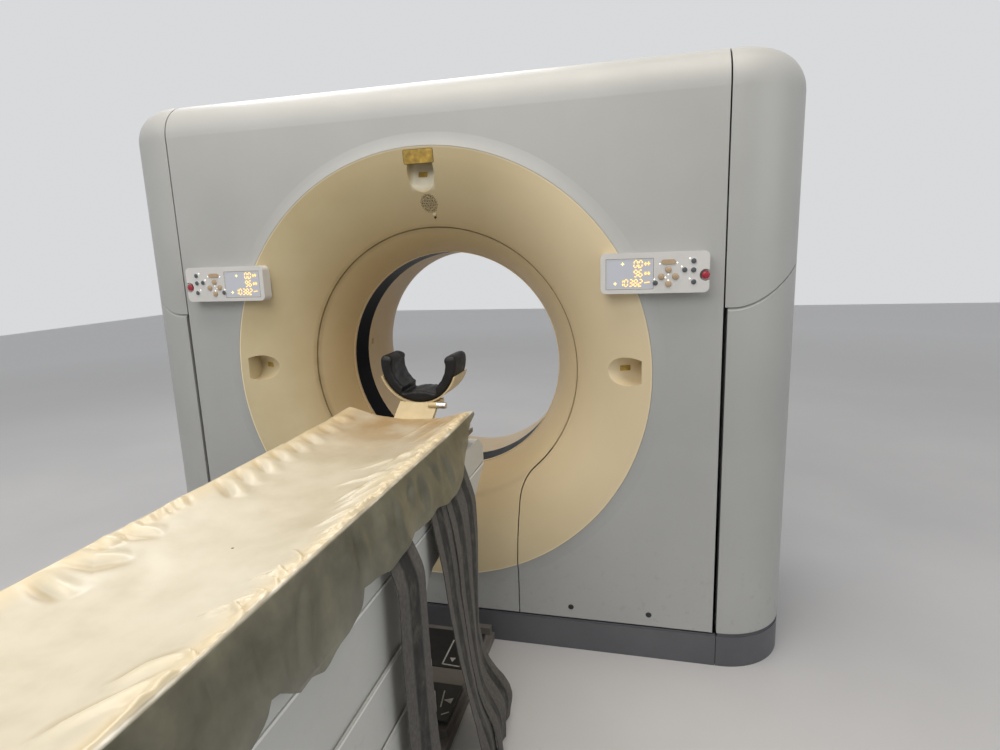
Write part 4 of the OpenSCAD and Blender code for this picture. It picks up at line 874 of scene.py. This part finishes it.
def segment(kind, x, z, w, h, t):
    """Corners of one bar of a digit whose lower left corner is at (x, z)."""
    g = 0.0014
    if kind in "adg":
        zc = {"a": z + h, "g": z + h / 2, "d": z}[kind]
        return [(x + g, zc), (x + g + t / 2, zc + t / 2), (x + w - g - t / 2, zc + t / 2), (x + w - g, zc),
                (x + w - g - t / 2, zc - t / 2), (x + g + t / 2, zc - t / 2)]
    xc = x + (w if kind in "bc" else 0)
    z0, z1 = (z + h / 2, z + h) if kind in "bf" else (z, z + h / 2)
    return [(xc, z0 + g), (xc + t / 2, z0 + g + t / 2), (xc + t / 2, z1 - g - t / 2), (xc, z1 - g),
            (xc - t / 2, z1 - g - t / 2), (xc - t / 2, z0 + g + t / 2)]


def bar(x0, z0, x1, z1, t):
    """Corners of a straight bar between two places."""
    length = math.hypot(x1 - x0, z1 - z0)
    nx, nz = -(z1 - z0) / length * t / 2, (x1 - x0) / length * t / 2
    return [(x0 + nx, z0 + nz), (x1 + nx, z1 + nz), (x1 - nx, z1 - nz), (x0 - nx, z0 - nz)]


def digit_bars(thick):
    outlines = []
    for text, z in DIGIT_ROWS:
        x = DIGITS_END
        for character in reversed(text):
            if character == ".":
                outlines.append(bar(x + 0.0006, z - 0.0010, x + 0.0036, z - 0.0010, thick))
                continue
            x -= DIGIT_STEP
            for kind in SEGMENTS[character]:
                outline = segment(kind, x + 0.0018, z, DIGIT_W, DIGIT_H, thick)
                outlines.append([(px + SLANT * (pz - z), pz) for px, pz in outline])
    return outlines


def row_marks(thick):
    """Two crosses beside the upper row, two stars beside the middle one and a dash below."""
    outlines = []
    for x, z in ((-0.0255, 0.028), (-0.0165, 0.029)):
        outlines += [bar(x - 0.0045, z, x + 0.0045, z, thick), bar(x, z - 0.0055, x, z + 0.0055, thick)]
    for x, z in ((-0.0255, -0.001), (-0.0160, -0.001)):
        for a in (0, math.pi / 3, 2 * math.pi / 3):
            outlines.append(bar(x - 0.0045 * math.cos(a), z - 0.0055 * math.sin(a), x + 0.0045 * math.cos(a),
                                z + 0.0055 * math.sin(a), thick * 0.7))
    return outlines + [bar(-0.0290, -0.030, -0.0125, -0.028, thick)]


def star(x, z, r):
    return [(x + r * (1 if k % 2 == 0 else 0.36) * math.cos(k * math.pi / 4),
             z + r * (1 if k % 2 == 0 else 0.36) * math.sin(k * math.pi / 4)) for k in range(8)]


def tiles(outlines, place, thick):
    """Each flat outline becomes a thin closed tile; place turns (u, v, height) into a point."""
    points, faces = [], []
    for outline in outlines:
        n, base = len(outline), len(points)
        points += [place(u, v, thick) for u, v in outline] + [place(u, v, 0) for u, v in outline]
        faces += [tuple(base + i for i in range(n)), tuple(base + n + i for i in range(n))[::-1]]
        faces += [(base + i, base + n + i, base + n + (i + 1) % n, base + (i + 1) % n) for i in range(n)]
    return points, faces


display_film = lit("backlit_film", "#a6a9b0", 0.34, 0.3)
amber = lit("amber_segment", "#f0a818", 0.85)
amber_core = lit("amber_segment_core", "#ffeaa0", 1.0)
for side, centre_x in (("right", PANEL_X), ("left", -PANEL_X + 0.149)):
    dress(f"display_{side}", display_film)
    for name, outlines, finish, out in (
            ("segments", digit_bars(0.0046) + row_marks(0.0036), amber, 0.0001),
            ("cores", digit_bars(0.0021) + row_marks(0.0015), amber_core, 0.0003),
            ("stars", [star(-0.0955, 0.029, 0.0068), star(-0.1186, -0.0315, 0.0068)], amber_core, 0.0001)):
        points, faces = tiles(outlines, lambda u, v, h: (centre_x + u, FILM_Y - out - h, PANEL_Z + v), 0.0001)
        make_piece(f"display_{name}_{side}", points, faces, finish, "display", "gantry", 30, 0)

# %% The dark gap around each display film
GAP_W = 0.0012
film_edge = plain("display_gap", "#55565a", 0.6, 0.02, 0.05)
for side in SIDES:
    low, high = box(f"display_{side}")
    edges = [bar(low.x, z, high.x, z, GAP_W) for z in (low.z, high.z)]
    edges += [bar(x, low.z, x, high.z, GAP_W) for x in (low.x, high.x)]
    points, faces = tiles(edges, lambda u, v, h: (u, PANEL_FACE + 0.0002 - h, v), 0.0004)
    make_piece(f"display_gap_{side}", points, faces, film_edge, "dark_plastic", "gantry", 30, 0)

# %% [markdown]
# ## Keys, lamps, bolts and painted grille holes by Geometry Nodes
# The grey keys, the crowns of the pressed keys and stops, the tiny signal lamps, the bolt heads and
# the holes of the speaker's grille, which are dark domes of painted shade, are the same small form set
# down at many places. A node tree does that: it takes a mesh whose points are the places, puts a dome
# on each, makes the instances real and gives them their material. The sizes are inputs of the tree, so
# that one tree serves them all. A crown rides on the body of its own key, so it moves when the key is
# pressed.

# %% A tree that sets a dome on every point
def dome_tree(name):
    tree = bpy.data.node_groups.new(name, "GeometryNodeTree")
    for label, kind, direction in (("Geometry", "Geometry", "INPUT"), ("Radius", "Float", "INPUT"),
                                   ("Rise", "Float", "INPUT"), ("Sides", "Int", "INPUT"),
                                   ("Finish", "Material", "INPUT"), ("Geometry", "Geometry", "OUTPUT")):
        tree.interface.new_socket(label, in_out=direction, socket_type="NodeSocket" + kind)
    given = put(tree, "NodeGroupInput").outputs
    ball = put(tree, "GeometryNodeMeshUVSphere", {"Segments": given["Sides"], "Rings": 8, "Radius": 1.0}, "Mesh")
    size = put(tree, "ShaderNodeCombineXYZ", {"X": given["Radius"], "Y": given["Rise"], "Z": given["Radius"]},
               "Vector")
    placed = put(tree, "GeometryNodeInstanceOnPoints", {"Points": given["Geometry"], "Instance": ball,
                                                        "Scale": size}, "Instances")
    real = put(tree, "GeometryNodeRealizeInstances", {"Geometry": placed}, "Geometry")
    finish = put(tree, "GeometryNodeSetMaterial", {"Geometry": real, "Material": given["Finish"]}, "Geometry")
    put(tree, "NodeGroupOutput", {"Geometry": finish})
    return tree


domes = dome_tree("domes_on_points")


def grow(name, places, radius, rise, sides, finish, body="gantry"):
    """Runs the tree on a mesh of bare points and keeps the result as a plain mesh."""
    places = [tuple(place) for place in places if place is not None]
    if not places:
        print("no place for", name)
        return None
    seed = bpy.data.meshes.new(name + "_places")
    seed.from_pydata(places, [], [])
    carrier = add_object(name + "_places", seed)
    modifier = carrier.modifiers.new("grow", "NODES")
    modifier.node_group = domes
    values = {"Radius": radius, "Rise": rise, "Sides": sides, "Finish": finish}
    for item in domes.interface.items_tree:
        if item.in_out == "INPUT" and item.name in values:
            modifier[item.identifier] = values[item.name]
    bpy.context.view_layer.update()
    graph = bpy.context.evaluated_depsgraph_get()
    mesh = bpy.data.meshes.new_from_object(carrier.evaluated_get(graph))
    bpy.data.objects.remove(carrier)
    return set_down(name, mesh, body)


# %% The small grey keys and the signal lamps on both panels
GREY_KEYS = [(4, -31), (91, 7), (117, 6), (117, 33), (118, -30)]
LAMPS = [(17.5, 27), (69, 29), (43, -6), (34, -15), (42.5, -24), (1, -20), (106, 41), (82, 17), (106, -20)]


def on_panels(places, y):
    """Places in millimetres from a panel's middle, on both panels, mirrored."""
    return [(side * (PANEL_X + x / 1000), y, PANEL_Z + z / 1000) for x, z in places for side in (1, -1)]


lamp_white = lit("white_lamp", "#fdfdf6", 1.0)
grow("grey_keys", on_panels(GREY_KEYS, PANEL_FACE - 0.0030), 0.0080, 0.0016, 24, grey_key)
grow("signal_lamps", on_panels(LAMPS, PANEL_FACE), 0.0021, 0.0012, 12, lamp_white)

# %% Crowned key caps, each on its own key, and the bolt heads in the lower cover
CROWN_SHARE = 0.42                  # a crown's radius as a share of its key's width
for side in SIDES:
    for key, finish, slot, part in (*((key, soft_key, "key_beige", "key") for key in KEYS[1:]),
                                    ("stop", stop_plastic, "stop_red", "head")):
        low, high = box(f"{key}_{side}")
        grow(f"{key}_{side}_crown", [((low.x + high.x) / 2, low.y + 0.0002, (low.z + high.z) / 2)],
             (high.x - low.x) * CROWN_SHARE, 0.0022, 28, finish, f"{key}_{side}_{part}")

screw_z = sum(corner.z for corner in box("cover_screws")) / 2
grow("bolt_heads", [(x, FRONT_Y + 0.0005, screw_z) for x in (-0.768, -0.493, 0.493, 0.768)],
     0.0105, 0.0030, 24, dark_abs)

# %% [markdown]
# ## Small plates that follow a curved surface
# The thin plates lie on the dish, in its pockets and on the sleeve behind the window, which are all
# curved. So a plate is a small grid, and each of its points is dropped onto the CAD node along a ray,
# which gives the exact place on the surface. The plate is then a skin a fraction of a millimetre
# thick over those places, with its corners drawn in. The long plate at 12 o'clock bridges a scoop, so
# its points are dropped beside the scoop and turned back. The grille's holes, dark domes of painted
# shade, are set down the same way.

# %% Plates dropped onto a surface
PAST_SCOOP = 0.20                   # radians round the axis that clear the scoop
SUNK, PULL_IN = 0.0004, 0.035       # into the surface, and how far the corners are drawn in
surface_of = {name: BVHTree.FromObject(nodes[name], bpy.context.evaluated_depsgraph_get())
              for name in ("front_dish", "rear_cone")}


def dropped(name, start_at, towards):
    """The place where a ray from start_at meets the node, or None."""
    return surface_of[name].ray_cast(Vector(start_at), Vector(towards).normalized())[0]


def beside_scoop(name, start_at, towards):
    """The dish is turned about the bore's axis, so its depth is the same a little way round."""
    x, z = start_at.x, start_at.z - AXIS_Z
    radius, turn = math.hypot(x, z), math.atan2(x, z) - PAST_SCOOP
    hit = dropped(name, (radius * math.sin(turn), start_at.y, AXIS_Z + radius * math.cos(turn)), towards)
    return hit and Vector((x, hit.y, start_at.z))


def plate(name, node, centre, axes, size, material, find=dropped, columns=15, rows=9):
    """axes are the directions along the plate, up it and into the surface; size is width, height, thickness."""
    across, up, towards = (Vector(axis).normalized() for axis in axes)
    width, height, thick = size
    outer, inner = [], []
    for r in range(rows):
        for c in range(columns):
            u, v = 2 * c / (columns - 1) - 1, 2 * r / (rows - 1) - 1
            pull = 1 - PULL_IN * (u * v) ** 6
            at = Vector(centre) + across * (u * pull * width / 2) + up * (v * pull * height / 2)
            hit = find(node, at, towards)
            if hit is None:
                print("no surface below", name)
                return None
            outer.append(hit - towards * thick)
            inner.append(hit + towards * SUNK)
    return make_piece(name, outer + inner, skin_faces(rows, columns), material, "dark_plastic", "gantry", 40, 0)


plate_border = plain("dark_plate_edge", "#4a3d1c", 0.5, 0.006, 0.1)
FROM_FRONT, TO_THE_LEFT = ((1, 0, 0), (0, 0, 1), (0, 1, 0)), ((0, 1, 0), (0, 0, 1), (-1, 0, 0))
for name, centre, size, finish, find in (
        ("top_plate_edge", (0.0025, -0.50, 1.768), (0.1075, 0.0465, 0.0005), plate_border, beside_scoop),
        ("top_plate", (0.0025, -0.50, 1.768), (0.1045, 0.0435, 0.0009), yellow_plate, beside_scoop),
        ("scoop_plate_top", (-0.0050, -0.50, 1.716), (0.030, 0.018, 0.0006), yellow_plate, dropped),
        ("scoop_plate_right", (0.681, -0.50, 1.047), (0.034, 0.019, 0.0006), yellow_plate, dropped),
        ("scoop_plate_left", (-0.681, -0.50, 1.047), (0.034, 0.019, 0.0006), yellow_plate, dropped)):
    plate(name, "front_dish", centre, FROM_FRONT, size, finish, find)
plate("sleeve_plate", "rear_cone", (-0.30, 0.097, 1.086), TO_THE_LEFT, (0.020, 0.026, 0.0006), yellow_plate)

# %% The speaker's grille and the alignment mark below it
GRILLE_X, GRILLE_Z, GRILLE_R, PITCH = 0.013, AXIS_Z + 0.590, 0.031, 0.0054
AHEAD = -0.6                        # well in front of the dish


def on_dish(x, z):
    return dropped("front_dish", (x, AHEAD, z), (0, 1, 0))


holes = []
for row in range(-7, 8):
    for column in range(-7, 8):
        x, z = (column + 0.5 * (row % 2)) * PITCH, row * PITCH * 0.866
        if math.hypot(x, z) < GRILLE_R:
            holes.append(on_dish(GRILLE_X + x, GRILLE_Z + z))
# Each hole of the grille is a dark dome: painted shade standing in for the hole.
grille_hole = plain("grille_hole_shadow", "#4d4029", 0.8, 0.01, 0.2)
grow("grille_holes", holes, 0.0018, 0.0008, 8, grille_hole)
grow("alignment_knob", [on_dish(0.0215, AXIS_Z + 0.556)], 0.0080, 0.003, 16, holder_plastic)
# The alignment hole is a dark dome too: painted shade standing in for the hole.
grow("alignment_hole_shade", [on_dish(0.0235, AXIS_Z + 0.545)], 0.0032, 0.0012, 12, dark_abs)

# %% [markdown]
# ## Marks on the pedals
# The two foot pedals are black rubber with worn white marks, plain shapes for up, down, in and out.
# They are thin tiles printed on the plates, so each set rides on its own pedal.

# %% Pedal marks
def line_of(points, thick):
    return [bar(a[0], a[1], b[0], b[1], thick) for a, b in zip(points, points[1:])]


worn_white = plain("worn_white_print", "#b9b8b2", 0.6, 0.01, 0.12)
lift_marks = line_of([(0.087, -0.470), (0.088, -0.604), (0.150, -0.607)], 0.005)
lift_marks += [[(0.104, -0.568), (0.124, -0.566), (0.118, -0.589)]]
slide_marks = line_of([(0.107, -0.735), (0.143, -0.821)], 0.005) + line_of([(0.139, -0.728), (0.150, -0.800)], 0.004)
slide_marks += [[(0.150, -0.768), (0.178, -0.755), (0.176, -0.780)]]
slide_marks += line_of([(0.162, -0.830), (0.182, -0.815)], 0.004)
for sign, side in ((1, "right"), (-1, "left")):
    for name, marks in (("lift", lift_marks), ("slide", slide_marks)):
        top = box(f"pedal_{name}")[1].z
        outlines = [[(sign * u, v) for u, v in outline] for outline in marks]
        points, faces = tiles(outlines, lambda u, v, h: (u, v, top - 0.0001 + h), 0.0005)
        make_piece(f"pedal_{name}_marks_{side}", points, faces, worn_white, "pedal_rubber", f"pedal_{name}_plate",
                   30, 0)

# %% [markdown]
# ## Stage and light
# A pale floor keeps the shadow, and grows paler with distance. The light is a large soft panel
# overhead, as in a hall lit from its ceiling, with a second one in front and to the left, so that the
# right half of the dish is a little brighter than the left. The world is brighter to the camera and
# to mirrors than to the object, so the background is pale without lighting the covers.

# %% Floor
FLOOR_HALF, FLOOR_DROP = 14, 0.0005


def floor_finish():
    material, tree, shader, where = start("pale_floor", "#bcbcbd", 0.45)
    base = clouds(tree, where, 1 / 1.5, [(0.3, "#b8b8ba"), (0.5, "#bebebf"), (0.7, "#c4c4c5")], roughness=0.55)
    distance = put(tree, VECTOR, {0: where}, "Value", operation="LENGTH")
    tree.links.new(tint(tree, base, "#ffffff", (distance, 2.5, 10.0, 0, 1)), shader.inputs["Base Color"])
    return material


floor_mesh = bpy.data.meshes.new("floor")
floor_mesh.from_pydata([(x * FLOOR_HALF, y * FLOOR_HALF, 0) for x, y in ((-1, -1), (1, -1), (1, 1), (-1, 1))], [],
                       [(0, 1, 2, 3)])
floor_mesh.materials.append(floor_finish())
floor = add_object("floor", floor_mesh)
floor.location.z = -FLOOR_DROP

# %% World and lamps
world = bpy.data.worlds.new("surround")
bpy.context.scene.world = world
world.use_nodes = True
tree = world.node_tree
tree.nodes.clear()
path = put(tree, "ShaderNodeLightPath").outputs
seen = put(tree, MATH, {0: path["Is Camera Ray"], 1: path["Is Glossy Ray"]}, "Value", operation="MAXIMUM")
seen = put(tree, MATH, {0: seen, 1: path["Is Transmission Ray"]}, "Value", operation="MAXIMUM")
ambient = put(tree, "ShaderNodeBackground", {"Color": linear("#f1f2f4"), "Strength": 0.30}, "Background")
backdrop = put(tree, "ShaderNodeBackground", {"Color": linear("#e3e4e6"), "Strength": 0.9}, "Background")
mixed = put(tree, "ShaderNodeMixShader", {0: seen, 1: ambient, 2: backdrop}, "Shader")
put(tree, "ShaderNodeOutputWorld", {"Surface": mixed})


def soft_lamp(name, at, target, size, watts, colour="#ffffff"):
    light = bpy.data.lights.new(name, "AREA")
    light.shape = "RECTANGLE"
    light.size, light.size_y = size
    light.energy = watts
    light.color = linear(colour)[:3]
    lamp = add_object(name, light)
    lamp.location = at
    lamp.rotation_euler = (Vector(target) - Vector(at)).to_track_quat("-Z", "Y").to_euler()


soft_lamp("ceiling_over", (0.0, -1.0, 4.5), (0.0, -0.8, 0.0), (4.0, 2.2), 108, "#fff4e6")
soft_lamp("ceiling_front", (-0.9, -3.6, 3.6), (0.1, -0.4, 0.9), (3.6, 2.2), 72)
soft_lamp("wall_right", (4.4, -2.4, 2.6), (0.2, -0.6, 0.7), (2.6, 2.2), 42)
soft_lamp("ceiling_back", (-1.6, 2.2, 4.6), (0, -0.6, 1.0), (3.0, 1.6), 85)
print("lamps set")
